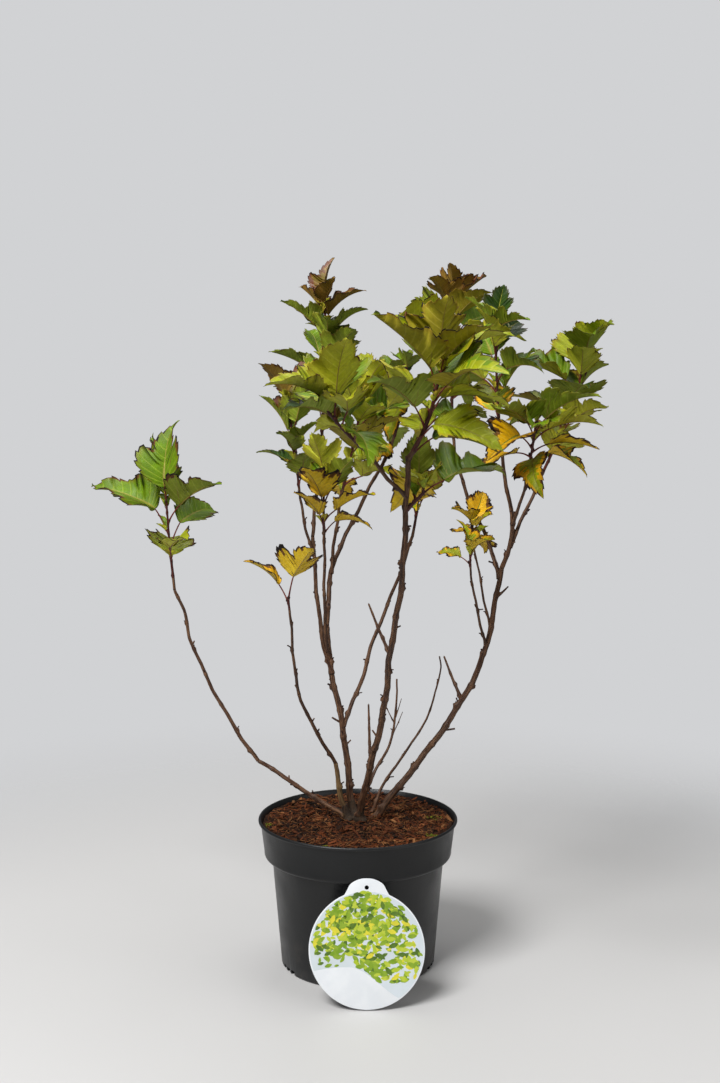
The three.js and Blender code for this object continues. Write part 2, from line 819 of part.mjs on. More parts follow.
const plant = new THREE.Group();
plant.add(named("pot", new THREE.Mesh(toGeometry(potSolid())), finishes.pot));
plant.add(named("potting_mix", new THREE.Mesh(toGeometry(soilSolid())), finishes.soil));
plant.add(named("label", labelMesh(), finishes.label));
plant.add(named("crown_foot", new THREE.Mesh(toGeometry(cutAtSoil(crownFootSolid()))), finishes.oldBark));
const { pieces, taken } = limbPieces();
for (const [name, solid] of pieces) {
  const finish = oldLimbs.includes(name) ? finishes.oldBark : finishes.bark;
  plant.add(named(name, new THREE.Mesh(toGeometry(solid)), finish));
}
tracedShoots.forEach((shoot, shootIndex) => {
  const finish = autumnShoots.includes(shoot.name) ? finishes.autumn : finishes.foliage;
  plant.add(named(shoot.name, new THREE.Mesh(toGeometry(shootPiece(shoot, shootIndex, taken))), finish));
});

export default plant;
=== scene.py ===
# A young ninebark shrub in its round nursery pot, with a hang label leaning on the front.
# +Z is up and -Y is to the front. The plant, the pot and the label are set in millimetres, which
# mm turns into Blender's metres. The camera, the floor and the lamps are set in metres.
import itertools
import math

import bmesh
import bpy
import numpy as np
from mathutils import Matrix, Vector


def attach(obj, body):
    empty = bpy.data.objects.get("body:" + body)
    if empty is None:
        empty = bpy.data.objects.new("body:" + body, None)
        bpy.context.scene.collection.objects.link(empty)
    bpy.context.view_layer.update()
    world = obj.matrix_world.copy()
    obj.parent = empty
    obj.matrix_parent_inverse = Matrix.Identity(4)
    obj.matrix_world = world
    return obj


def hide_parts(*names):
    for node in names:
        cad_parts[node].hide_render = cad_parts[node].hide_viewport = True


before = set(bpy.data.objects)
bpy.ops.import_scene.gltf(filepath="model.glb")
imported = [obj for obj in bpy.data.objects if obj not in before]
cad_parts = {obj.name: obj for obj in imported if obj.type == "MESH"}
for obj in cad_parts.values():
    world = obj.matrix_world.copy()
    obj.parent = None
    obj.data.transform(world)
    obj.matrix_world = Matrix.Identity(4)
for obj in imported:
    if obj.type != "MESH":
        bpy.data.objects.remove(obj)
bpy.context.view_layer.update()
mm = 0.001
print("frame loaded")


def linked(name, data):
    thing = bpy.data.objects.new(name, data)
    bpy.context.scene.collection.objects.link(thing)
    return thing


cameraSetup = {"place": (0.002, -1.382, 0.572), "tilt": 83.0, "lens": 50.0, "sensor": 36.0}


def placeCamera(s):
    data = bpy.data.cameras.new("camera")
    data.lens, data.sensor_width = s["lens"], s["sensor"]
    camera = linked("camera", data)
    camera.location = s["place"]
    camera.rotation_euler = (math.radians(s["tilt"]), 0, 0)
    bpy.context.scene.camera = camera


placeCamera(cameraSetup)


# ---- small helpers for meshes

def finished(mesh, name, node):  # a finer piece in the place of a CAD node
    piece = linked(name, mesh)
    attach(piece, "root")
    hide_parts(node)


def shadeSmooth(mesh, sharp=None):
    mesh.polygons.foreach_set("use_smooth", [True] * len(mesh.polygons))
    if sharp:
        mesh.set_sharp_from_angle(angle=math.radians(sharp))


def meshFromBmesh(bm, name, materials, sharp=None):
    mesh = bpy.data.meshes.new(name)
    bm.to_mesh(mesh)
    bm.free()
    for material in materials:
        mesh.materials.append(material)
    shadeSmooth(mesh, sharp)
    mesh.update()
    return mesh


def settledMesh(draft, *tools):  # what a draft's modifiers make of it; the drafts themselves go
    bpy.context.view_layer.update()
    mesh = bpy.data.meshes.new_from_object(draft.evaluated_get(bpy.context.evaluated_depsgraph_get()))
    for thing in (draft, *tools):
        bpy.data.objects.remove(thing)
    return mesh


def carved(bm, knife, name, material, sharp):  # a closed shape less the knife's shape
    draft = linked(name, meshFromBmesh(bm, name, [material]))
    tool = linked(name + "Knife", meshFromBmesh(knife, name + "Knife", []))
    cut = draft.modifiers.new("cut", "BOOLEAN")
    cut.operation, cut.solver, cut.object = "DIFFERENCE", "EXACT", tool
    mesh = settledMesh(draft, tool)
    shadeSmooth(mesh, sharp)
    mesh.materials.clear()
    mesh.materials.append(material)
    return mesh


def thicken(bm, depth):  # flat faces get walls and an underside
    wall = bmesh.ops.extrude_face_region(bm, geom=bm.faces[:], use_keep_orig=True)
    lower = [g for g in wall["geom"] if isinstance(g, bmesh.types.BMVert)]
    bmesh.ops.translate(bm, verts=lower, vec=(0, 0, -depth))


def turnProfile(profile, steps):  # (radius, height) marks in mm turned round the pot's axis
    bm = bmesh.new()
    dots = [bm.verts.new((r * mm, 0, z * mm)) for r, z in profile]
    lines = [bm.edges.new(pair) for pair in zip(dots, dots[1:])]
    bmesh.ops.spin(bm, geom=dots + lines, cent=(0, 0, 0), axis=(0, 0, 1), dvec=(0, 0, 0), angle=2 * math.pi,
                   steps=steps, use_merge=True, use_normal_flip=False, use_duplicate=False)
    bmesh.ops.remove_doubles(bm, verts=bm.verts, dist=1e-6)
    bmesh.ops.recalc_face_normals(bm, faces=bm.faces)
    return bm


def joined(parts, key, kind=np.int32):
    return np.concatenate([p[key] for p in parts]).astype(kind).ravel()


def meshFromParts(parts, name, materials, smooth=True):  # many small shapes joined into one mesh
    mesh = bpy.data.meshes.new(name)
    starts = np.cumsum([0] + [len(p["spots"]) for p in parts])
    corners = np.concatenate([p["corners"] + s for p, s in zip(parts, starts)])
    sizes = joined(parts, "sizes")
    firsts = np.concatenate([[0], np.cumsum(sizes)[:-1]])
    mesh.vertices.add(int(starts[-1]))
    mesh.vertices.foreach_set("co", joined(parts, "spots", np.float32))
    mesh.loops.add(len(corners))
    mesh.loops.foreach_set("vertex_index", corners.astype(np.int32))
    mesh.polygons.add(len(sizes))
    mesh.polygons.foreach_set("loop_start", firsts.astype(np.int32))
    mesh.polygons.foreach_set("loop_total", sizes)
    mesh.polygons.foreach_set("use_smooth", [smooth] * len(sizes))
    for material in materials:
        mesh.materials.append(material)
    mesh.polygons.foreach_set("material_index", joined(parts, "slots"))
    if "map" in parts[0]:
        mesh.uv_layers.new(name="leafMap").data.foreach_set("uv", joined(parts, "map", np.float32))
    mesh.update(calc_edges=True)
    mesh.validate()
    return mesh


def setBarkPlace(mesh, places):  # the attribute that the bark finishes read
    attribute = mesh.attributes.new("barkPlace", "FLOAT_VECTOR", "POINT")
    attribute.data.foreach_set("vector", places.astype(np.float32).ravel())


def readShape(bm):  # spots, corners and face sizes of a small shape, for joining many of it
    bm.verts.ensure_lookup_table()
    bm.verts.index_update()
    spots = np.array([v.co[:] for v in bm.verts])
    corners = np.array([v.index for f in bm.faces for v in f.verts])
    sizes = np.array([len(f.verts) for f in bm.faces])
    return {"spots": spots, "corners": corners, "sizes": sizes}


# ---- curves through points

def curveAt(path, t):  # a point on the smooth curve through a path, t from 0 to 1
    last = len(path) - 1
    place = t * last
    i = min(int(place), last - 1)
    w = place - i
    a, b = path[i], path[i + 1]
    before = path[i - 1] if i > 0 else 2 * a - b
    after = path[i + 2] if i + 2 <= last else 2 * b - a
    pairs = ((before, a), (a, b), (b, after))
    d0, d1, d2 = (math.sqrt(max(np.linalg.norm(q - p), 1e-8)) for p, q in pairs)
    t1 = ((a - before) / d0 - (b - before) / (d0 + d1) + (b - a) / d1) * d1
    t2 = ((b - a) / d1 - (after - a) / (d1 + d2) + (after - b) / d2) * d1
    return a + t1 * w + (3 * (b - a) - 2 * t1 - t2) * w**2 + (2 * (a - b) + t1 + t2) * w**3


def runAlong(points):  # how far along the line each of its points lies
    return np.concatenate([[0], np.cumsum(np.linalg.norm(np.diff(points, axis=0), axis=1))])


def spacedPoints(path, count):  # evenly spaced points along that curve
    path = [np.array(p, dtype=float) for p in path]
    fine = np.array([curveAt(path, i / 200) for i in range(201)])
    run = runAlong(fine)
    wanted = np.linspace(0, run[-1], count + 1)
    return np.stack([np.interp(wanted, run, fine[:, k]) for k in range(3)], axis=1)


def curveLength(points):
    return float(np.linalg.norm(np.diff(points, axis=0), axis=1).sum())


def pointAlong(points, share):
    place = min(max(share, 0), 1) * (len(points) - 1)
    i = min(int(place), len(points) - 2)
    return points[i] + (points[i + 1] - points[i]) * (place - i)


def pointAtHeight(points, height):
    upper = next(i for i, p in enumerate(points) if p[2] >= height)
    low, high = points[upper - 1], points[upper]
    return low + (high - low) * (height - low[2]) / (high[2] - low[2])


def direction(heading, climb):  # heading 0 is +X and 90 is +Y, climb is above level
    h, c = math.radians(heading), math.radians(climb)
    return np.array([math.cos(h) * math.cos(c), math.sin(h) * math.cos(c), math.sin(c)])


def mix(a, b, share):
    return a + (b - a) * share


def unit(v):
    return v / np.linalg.norm(v)


def levelAcross(way):  # the level direction square to a way
    return unit(np.cross(way, (0, 0, 1)))


def ringFrames(points):  # two cross directions at each point that don't twist along the path
    ways = np.gradient(points, axis=0)
    ways /= np.linalg.norm(ways, axis=1)[:, None]
    first = np.cross(ways[0], (0.0, 1.0, 0.0) if abs(ways[0][1]) < 0.9 else (1.0, 0.0, 0.0))
    sides = [unit(first)]
    for way in ways[1:]:
        side = sides[-1] - way * np.dot(sides[-1], way)
        sides.append(unit(side))
    sides = np.array(sides)
    return sides, np.cross(ways, sides)


def seededRandom(seed):
    state = [seed]

    def step():
        state[0] = (state[0] * 1664525 + 1013904223) % 4294967296
        return state[0] / 4294967296

    return step


def vary(draw, spread):  # spread is (least, how much more at most)
    return spread[0] + spread[1] * draw()


# ---- the shrub's plan: every limb and leafy shoot on its own centreline

# on: what carries the limb, at a height or at its tip. thick: radius at foot and tip.
# spurs: side stubs as (height on the limb, heading, climb, length).
limbs = [
    {"name": "main_left_stem", "on": "crown_foot", "thick": (3.3, 2.1),
     "path": [(-2, 1, 133), (-6, 9, 152), (-14, 18, 219), (-28, 30, 294), (-27, 46, 359), (-22, 50, 379)],
     "spurs": [(226, 195, 28, 11), (205, 20, 35, 7), (263, 160, 40, 6)]},
    {"name": "old_left_stem", "on": "crown_foot", "thick": (2.9, 2),
     "path": [(-4, -2, 133), (-10, -3, 144), (-17, -4, 166), (-21, -1, 192)]},
    {"name": "front_stem", "on": "crown_foot", "thick": (3.2, 2.2),
     "path": [(0, -3, 133), (7, -18, 174), (23, -52, 253), (29, -84, 318), (37, -116, 378), (41, -168, 489)],
     "spurs": [(312, 150, 62, 46), (196, 100, 80, 54), (338, 350, 20, 6), (227, 170, 50, 8), (404, 40, 40, 5)]},
    {"name": "low_left_foot", "on": "crown_foot", "thick": (2.3, 1.9),
     "path": [(-3, -2, 134), (-14, 0, 143), (-48, 10, 159), (-70, 14, 175), (-95, 18, 189)],
     "spurs": [(172, 90, 60, 4)]},
    {"name": "low_left_rise", "on": "low_left_foot", "thick": (1.9, 1.4),
     "path": [(-113, 20, 214), (-139, 24, 259), (-159, 28, 304), (-165, 30, 330), (-174, 30, 352)],
     "spurs": [(232, 200, 60, 4), (300, 10, 60, 4)]},
    {"name": "short_left_twig", "on": "old_left_stem", "thick": (1.8, 1.1),
     "path": [(-31, -11, 212), (-44, -22, 238), (-55, -38, 273), (-58, -56, 312), (-60, -75, 350)],
     "spurs": [(236, 20, 50, 5), (272, 180, 50, 4)]},
    {"name": "tall_left_lower", "on": "main_left_stem", "at": 272, "thick": (2.2, 1.7),
     "path": [(-34, 27, 308), (-40, 32, 361), (-43, 38, 402)]},
    {"name": "tall_left_stem", "on": "tall_left_lower", "thick": (1.7, 1.5),
     "path": [(-40, 49, 437), (-35, 60, 480)]},
    {"name": "side_left_stem", "on": "tall_left_lower", "at": 384, "thick": (1.4, 1.2),
     "path": [(-50, 30, 415), (-54, 22, 440)]},
    {"name": "mid_left_stem", "on": "main_left_stem", "at": 284, "thick": (1.7, 1.3),
     "path": [(-31, 14, 322), (-31, 2, 362), (-31, -12, 410)]},
    {"name": "centre_back_stem", "on": "main_left_stem", "thick": (2, 1.5),
     "path": [(-12, 60, 400), (1, 72, 426), (21, 88, 463), (32, 96, 484)],
     "spurs": [(440, 240, 30, 5)]},
    {"name": "inner_stem", "on": "main_left_stem", "at": 366, "thick": (1.7, 1.4),
     "path": [(-22, 38, 400), (-17, 30, 436)]},
    {"name": "crossing_stem", "on": "main_left_stem", "at": 222, "thick": (2, 1.5),
     "path": [(3, 34, 263), (16, 50, 303), (33, 62, 343), (46, 66, 378), (53, 66, 400)],
     "spurs": [(262, 20, 50, 4), (316, 10, 50, 5)]},
    {"name": "front_left_fork", "on": "front_stem", "at": 458, "thick": (1.7, 1.5),
     "path": [(26, -168, 473), (6, -184, 498)]},
    {"name": "right_stem", "on": "soil", "thick": (3.3, 2.4),
     "path": [(15, 9, 133), (30, 15, 153), (66, 24, 197), (98, 32, 242), (120, 36, 287), (137, 38, 372)],
     "spurs": [(217, 350, 4, 12), (344, 330, 40, 16), (245, 130, 55, 44), (306, 80, 50, 5)]},
    {"name": "right_upper_stem", "on": "right_stem", "thick": (2.3, 1.7),
     "path": [(146, 38, 398), (146, 38, 420), (137, 30, 467)],
     "spurs": [(396, 320, 15, 5)]},
    {"name": "right_front_fork", "on": "right_upper_stem", "at": 414, "thick": (1.6, 1.3),
     "path": [(153, 20, 438), (156, 6, 458)]},
    {"name": "right_outer_stem", "on": "right_upper_stem", "at": 392, "thick": (1.8, 1.5),
     "path": [(161, 46, 428), (176, 54, 460)]},
    {"name": "right_back_stem", "on": "right_stem", "at": 362, "thick": (2, 1.5),
     "path": [(127, 52, 392), (110, 74, 428), (97, 92, 470), (94, 98, 492)],
     "spurs": [(430, 150, 30, 5)]},
    {"name": "yellow_leaf_twig", "on": "right_stem", "at": 296, "thick": (1.4, 1),
     "path": [(117, 26, 318), (109, 14, 350), (105, 6, 376)],
     "spurs": [(338, 200, 50, 3)]},
    {"name": "slender_right_twig", "on": "right_stem", "at": 314, "thick": (1.2, 0.9),
     "path": [(120, 43, 346), (116, 47, 366), (111, 49, 392)],
     "spurs": [(358, 10, 50, 3)]},
    {"name": "bare_front_twig", "on": "front_stem", "at": 164, "thick": (1.6, 0.8),
     "path": [(18, -4, 188), (28, 8, 204), (35, 16, 226), (37, 22, 268)],
     "spurs": [(214, 30, 60, 24), (226, 200, 62, 26), (232, 330, 70, 18)]},
    {"name": "bare_right_twig", "on": "soil", "thick": (1.5, 0.7),
     "path": [(12, 25, 133), (28, 34, 167), (59, 44, 210), (74, 50, 243), (80, 51, 274), (79, 51, 284)]},
]
# from: where on the shoot its first leaf sits. blade: a full leaf's length. tip: the top leaf's share of it.
# turn: the first leaf's heading. lift: how much steeper the leaves stand. scorch: how much more the margins
# are burnt. full, spread, tilt and crest: how openBlade stretches and lowers an outer shoot's leaves.
shoots = [
    {"name": "low_left_leaves", "on": "low_left_rise", "path": [(-178, 30, 395), (-180, 25, 440)],
     "leaves": 8, "from": 0.16, "blade": 59, "tip": 0.75, "turn": 115, "lift": 27, "seed": 44, "mood": "edged",
     "scorch": 4, "full": 1.14, "spread": 1.2, "tilt": 15, "crest": 1.4},
    {"name": "two_leaf_tip", "on": "short_left_twig", "path": [(-61, -77, 360)],
     "leaves": 2, "from": 0.7, "blade": 50, "tip": 0.95, "turn": 159, "lift": 12, "seed": 495, "mood": "golden",
     "axils": 0, "tipLeaves": 0,
     "ageing": {"stalk": (0.5, 0.56), "stalkClimb": (60, 66), "climb": (37, 41)}},
    {"name": "tall_left_leaves", "on": "tall_left_stem", "path": [(-33, 72, 545), (-31, 85, 628)],
     "leaves": 16, "from": 0.14, "blade": 48, "tip": 0.6, "turn": 330, "lift": 12, "seed": 649, "mood": "dark"},
    {"name": "side_left_leaves", "on": "side_left_stem", "path": [(-58, 14, 480), (-66, 10, 535)],
     "leaves": 12, "from": 0.14, "blade": 46, "tip": 0.75, "turn": 295, "lift": 28, "seed": 361, "mood": "dark"},
    {"name": "mid_left_leaves", "on": "mid_left_stem", "path": [(-31, -26, 434), (-30, -41, 465)],
     "leaves": 13, "from": 0.02, "blade": 47, "tip": 0.75, "turn": 45, "lift": 29, "seed": 732, "mood": "turning"},
    {"name": "inner_leaves", "on": "inner_stem", "path": [(-6, 18, 485), (8, 8, 545)],
     "leaves": 15, "from": 0.06, "blade": 56, "tip": 0.6, "turn": 155, "lift": 8, "seed": 148, "mood": "fresh"},
    {"name": "centre_back_leaves", "on": "centre_back_stem", "path": [(42, 102, 515), (48, 108, 560)],
     "leaves": 10, "from": 0.02, "blade": 50, "tip": 0.5, "turn": 260, "lift": -15, "seed": 861, "mood": "green"},
    {"name": "crossing_leaves", "on": "crossing_stem", "path": [(57, 62, 425), (59, 57, 454)],
     "leaves": 10, "from": 0.36, "blade": 57, "tip": 0.7, "turn": 250, "lift": 21, "seed": 842, "mood": "fresh"},
    {"name": "front_low_leaves", "on": "front_stem", "at": 446, "path": [(54, -158, 462)],
     "leaves": 5, "from": 0.52, "blade": 63, "tip": 0.55, "turn": 95, "lift": -2, "seed": 511, "mood": "fresh"},
    {"name": "front_left_leaves", "on": "front_left_fork", "path": [(-12, -196, 516), (-28, -206, 536)],
     "leaves": 12, "from": 0.12, "blade": 59, "tip": 0.6, "turn": 135, "lift": 6, "seed": 98, "mood": "bronzed"},
    {"name": "front_right_leaves", "on": "front_stem", "path": [(55, -182, 519), (65, -196, 558)],
     "leaves": 14, "from": 0.02, "blade": 66, "tip": 0.85, "turn": 10, "lift": 9, "seed": 536, "mood": "bronzed",
     "tilt": 16},
    {"name": "right_tall_leaves", "on": "right_upper_stem", "path": [(130, 20, 529), (126, 12, 606)],
     "leaves": 15, "from": 0.12, "blade": 50, "tip": 0.55, "turn": 175, "lift": 22, "seed": 561, "mood": "green",
     "tilt": 10},
    {"name": "right_front_leaves", "on": "right_front_fork", "path": [(158, -12, 484), (160, -30, 512)],
     "leaves": 13, "from": 0.28, "blade": 55, "tip": 0.85, "turn": 280, "lift": -10, "seed": 310, "mood": "turning"},
    {"name": "right_outer_leaves", "on": "right_outer_stem", "path": [(201, 62, 514), (222, 66, 567)],
     "leaves": 14, "from": 0.02, "blade": 50, "tip": 0.95, "turn": 265, "lift": 30, "seed": 181, "mood": "fresh",
     "full": 1.16, "spread": 1.3, "tilt": 22},
    {"name": "right_back_leaves", "on": "right_back_stem", "path": [(92, 104, 545), (92, 110, 622)],
     "leaves": 18, "from": 0.3, "blade": 54, "tip": 0.7, "turn": 330, "lift": 10, "seed": 924, "mood": "topped",
     "full": 1.08, "spread": 1.2, "tilt": 20},
    {"name": "yellow_twig_leaves", "on": "yellow_leaf_twig", "path": [(104, 2, 392)],
     "leaves": 4, "from": 0.22, "blade": 34, "tip": 0.85, "turn": 155, "lift": 15, "seed": 996, "mood": "gold"},
    {"name": "slender_twig_leaves", "on": "slender_right_twig", "path": [(109, 50, 410)],
     "leaves": 6, "from": 0.2, "blade": 43, "tip": 0.85, "turn": 15, "lift": -11, "seed": 886, "mood": "gold"},
]


# ---- finishes

def plug(tree, socket, value):
    if isinstance(value, bpy.types.NodeSocket):
        tree.links.new(value, socket)
    elif socket.type == "RGBA":
        socket.default_value = (*value[:3], 1)
    else:
        socket.default_value = value


def colour(red, green, blue):  # screen values 0 to 255 turned to Blender's linear ones
    return tuple(((c / 255 + 0.055) / 1.055) ** 2.4 if c > 10 else c / 3294 for c in (red, green, blue))


def darker(tone, *shares):  # one share for all three values, or one for each
    return colour(*[c * k for c, k in zip(tone, shares * 3)])


def maths(tree, kind, a, b=0.0):
    node = tree.nodes.new("ShaderNodeMath")
    node.operation = kind
    plug(tree, node.inputs[0], a)
    plug(tree, node.inputs[1], b)
    return node.outputs[0]


def times(tree, a, b):
    return maths(tree, "MULTIPLY", a, b)


def apart(tree, a, b):  # how far two numbers are from each other
    return maths(tree, "ABSOLUTE", maths(tree, "SUBTRACT", a, b))


def blendColours(tree, share, a, b):
    node = tree.nodes.new("ShaderNodeMix")
    node.data_type = "RGBA"
    plug(tree, node.inputs[0], share)
    plug(tree, node.inputs[6], a)
    plug(tree, node.inputs[7], b)
    return node.outputs[2]


def fromTo(tree, value, low, high, start=0.0, end=1.0, smooth=True):
    node = tree.nodes.new("ShaderNodeMapRange")
    node.interpolation_type = "SMOOTHSTEP" if smooth else "LINEAR"
    for socket, number in zip(node.inputs[:5], (value, low, high, start, end)):
        plug(tree, socket, number)
    return node.outputs[0]


def noise(tree, place, scale, detail=3.0, rough=0.55, stretch=None):
    if stretch:
        place = stretched(tree, place, stretch)
    node = tree.nodes.new("ShaderNodeTexNoise")
    plug(tree, node.inputs["Vector"], place)
    plug(tree, node.inputs["Scale"], scale)
    node.inputs["Detail"].default_value = detail
    node.inputs["Roughness"].default_value = rough
    return node.outputs["Fac"]


def stretched(tree, place, scales):
    mapping = tree.nodes.new("ShaderNodeMapping")
    mapping.inputs["Scale"].default_value = scales
    plug(tree, mapping.inputs["Vector"], place)
    return mapping.outputs[0]


def cells(tree, place, scale, feature="F1"):
    node = tree.nodes.new("ShaderNodeTexVoronoi")
    node.feature = feature
    node.inputs["Scale"].default_value = scale
    plug(tree, node.inputs["Vector"], place)
    return node.outputs["Distance"]


def objectPlace(tree):
    return tree.nodes.new("ShaderNodeTexCoord").outputs["Object"]


def bumped(tree, height, strength, distance):
    node = tree.nodes.new("ShaderNodeBump")
    node.inputs["Strength"].default_value = strength
    node.inputs["Distance"].default_value = distance
    plug(tree, node.inputs["Height"], height)
    return node.outputs[0]


def newGroup(name, inputs, outputs):
    group = bpy.data.node_groups.new(name, "ShaderNodeTree")
    for label, kind, value in inputs:
        socket = group.interface.new_socket(name=label, in_out="INPUT", socket_type="NodeSocket" + kind)
        if value is not None:
            socket.default_value = value
    for label, kind in outputs:
        group.interface.new_socket(name=label, in_out="OUTPUT", socket_type="NodeSocket" + kind)
    return group, group.nodes.new("NodeGroupInput"), group.nodes.new("NodeGroupOutput")


def useGroup(tree, group, **values):
    node = tree.nodes.new("ShaderNodeGroup")
    node.node_tree = group
    for label, value in values.items():
        plug(tree, node.inputs[label], value)
    return node.outputs


def newFinish(name):
    material = bpy.data.materials.new(name)
    material.use_nodes = True
    return material, material.node_tree


def completed(material, tone, rough, relief, gloss=0.5):  # what the shader itself is given
    tree = material.node_tree
    shader = tree.nodes["Principled BSDF"]
    plug(tree, shader.inputs["Base Color"], tone)
    plug(tree, shader.inputs["Roughness"], rough)
    plug(tree, shader.inputs["Normal"], bumped(tree, *relief))
    shader.inputs["Specular IOR Level"].default_value = gloss
    return material


def putOut(group, made, **values):
    for label, value in values.items():
        plug(group, made.inputs[label], value)
    return group


# pairs are where a mark begins and ends on its way from 0 to 1; bark marks are (scale, stretch along the limb)
mottleMarks = {"detail": 4.0, "rough": 0.6, "blotch": (0.36, 0.64)}
veinMarks = {
    "width": 0.14, "shift": 0.57, "taper": 1.25, "soft": (0.25, 1.0), "stop": (0.97, 0.7), "rib": (0.05, 0.02),
    "edge": (0.72, 1.0), "net": 620.0, "netLine": (0.0, 0.22),
}
barkMarks = {
    "streak": (700.0, 0.07), "streakLine": (0.34, 0.68), "crack": (1100.0, 0.045), "crackLine": (0.035, 0.0),
    "pore": (420.0, 0.45), "poreDot": (0.2, 0.08),
}


def mottleGroup():  # soft blotches of a second colour
    s = mottleMarks
    inputs = [("First", "Color", None), ("Second", "Color", None), ("Scale", "Float", 60.0), ("Amount", "Float", 0.6)]
    group, given, made = newGroup("mottle", inputs, [("Colour", "Color"), ("Mask", "Float")])
    blotch = noise(group, objectPlace(group), given.outputs["Scale"], s["detail"], s["rough"])
    mask = fromTo(group, blotch, *s["blotch"])
    share = times(group, mask, given.outputs["Amount"])
    tone = blendColours(group, share, given.outputs["First"], given.outputs["Second"])
    return putOut(group, made, Colour=tone, Mask=mask)


def veinGroup(teeth):  # side veins run to the teeth, on the leaf's own map
    s = veinMarks
    outputs = [("Vein", "Float"), ("Edge", "Float"), ("Net", "Float")]
    group, given, made = newGroup("leafVeins", [("Width", "Float", s["width"])], outputs)
    uv = group.nodes.new("ShaderNodeUVMap")
    uv.uv_map = "leafMap"
    parts = group.nodes.new("ShaderNodeSeparateXYZ")
    plug(group, parts.inputs[0], uv.outputs[0])
    away = apart(group, times(group, parts.outputs[0], 2.0), 1.0)
    along = maths(group, "ADD", times(group, parts.outputs[1], float(teeth)), s["shift"])
    off = apart(group, maths(group, "FRACT", along), 0.5)
    width = times(group, given.outputs["Width"], maths(group, "SUBTRACT", s["taper"], away))
    side = maths(group, "SUBTRACT", 1.0, fromTo(group, maths(group, "DIVIDE", off, width), *s["soft"]))
    side = times(group, side, fromTo(group, away, *s["stop"]))
    vein = maths(group, "MAXIMUM", side, fromTo(group, away, *s["rib"]))
    net = cells(group, objectPlace(group), s["net"], "DISTANCE_TO_EDGE")
    return putOut(group, made, Vein=vein, Edge=fromTo(group, away, *s["edge"]), Net=fromTo(group, net, *s["netLine"]))


def barkGroup():  # long streaks, cracks and pores that follow the limb
    s = barkMarks
    outputs = [("Streak", "Float"), ("Crack", "Float"), ("Pore", "Float")]
    group, given, made = newGroup("barkGrain", [("Scale", "Float", 1.0)], outputs)
    attribute = group.nodes.new("ShaderNodeAttribute")
    attribute.attribute_name = "barkPlace"
    place, scale = attribute.outputs["Vector"], given.outputs["Scale"]
    (fine, long), (finer, longer), (dots, squeeze) = s["streak"], s["crack"], s["pore"]
    streak = noise(group, place, times(group, scale, fine), 5.0, 0.62, (1, 1, long))
    crack = apart(group, noise(group, place, times(group, scale, finer), 3.0, 0.5, (1, 1, longer)), 0.5)
    pore = cells(group, stretched(group, place, (1, 1, squeeze)), dots)
    lines = {"Streak": (streak, "streakLine"), "Crack": (crack, "crackLine"), "Pore": (pore, "poreDot")}
    return putOut(group, made, **{label: fromTo(group, mark, *s[key]) for label, (mark, key) in lines.items()})


leafTeeth = 12
mottle = mottleGroup()
leafVeins = veinGroup(leafTeeth)
barkGrain = barkGroup()

# blotch, tinge and fine: (how many to the metre, how strong). relief: (strength, height in metres).
leafSkin = {
    "blotch": (75.0, 0.75), "tinge": (32.0, 0.32), "tingeTone": (0.8, 0.66, 0.75), "fine": (420.0, 0.4),
    "fineTone": 0.72, "net": 0.35, "relief": (0.45, 0.0003), "gloss": 0.28, "dull": (-0.06, 0.08),
}
barkSkin = {
    "blotch": (45.0, 0.8), "streak": 0.65, "pore": 0.5, "crack": 0.7, "streakRelief": 0.6, "poreRelief": 0.5,
    "relief": (0.7, 0.0005), "gloss": 0.35, "dull": (-0.12, 0.1),
}


def blotched(tree, first, second, blotch):
    return useGroup(tree, mottle, First=first, Second=second, Scale=blotch[0], Amount=blotch[1])


def dullness(tree, mask, rough, swing):  # roughness that follows a mask
    return fromTo(tree, mask, 0.0, 1.0, rough + swing[0], rough + swing[1], False)


def leafFinish(name, body, second, vein, rim, rough, relief=-1.0, veinShare=0.3, rimShare=0.45):
    s = leafSkin
    material, tree = newFinish(name)
    tone = blotched(tree, colour(*body), colour(*second), s["blotch"])
    tinged = blotched(tree, tone["Colour"], darker(body, *s["tingeTone"]), s["tinge"])  # the autumn tinge
    fine = blotched(tree, tinged["Colour"], darker(body, s["fineTone"]), s["fine"])
    marks = useGroup(tree, leafVeins)
    veined = blendColours(tree, times(tree, marks["Vein"], veinShare), fine["Colour"], colour(*vein))
    rimmed = blendColours(tree, times(tree, marks["Edge"], rimShare), veined, colour(*rim))
    height = maths(tree, "ADD", times(tree, marks["Vein"], relief), times(tree, marks["Net"], s["net"]))
    rough = dullness(tree, tone["Mask"], rough, s["dull"])
    return completed(material, rimmed, rough, (height, *s["relief"]), s["gloss"])


def barkFinish(name, body, streak, crack, pore, second, rough, scale):
    s = barkSkin
    material, tree = newFinish(name)
    marks = useGroup(tree, barkGrain, Scale=scale)
    tone = blotched(tree, colour(*body), colour(*second), s["blotch"])["Colour"]
    # the light streaks are partly peeling bark and partly a painted highlight; the dark cracks are partly the
    # fissures' own dark and partly painted shade
    for mark, mine in (("Streak", streak), ("Pore", pore), ("Crack", crack)):
        tone = blendColours(tree, times(tree, marks[mark], s[mark.lower()]), tone, colour(*mine))
    height = maths(tree, "SUBTRACT", times(tree, marks["Streak"], s["streakRelief"]), marks["Crack"])
    height = maths(tree, "ADD", height, times(tree, marks["Pore"], s["poreRelief"]))
    rough = dullness(tree, marks["Streak"], rough, s["dull"])
    return completed(material, tone, rough, (height, *s["relief"]), s["gloss"])


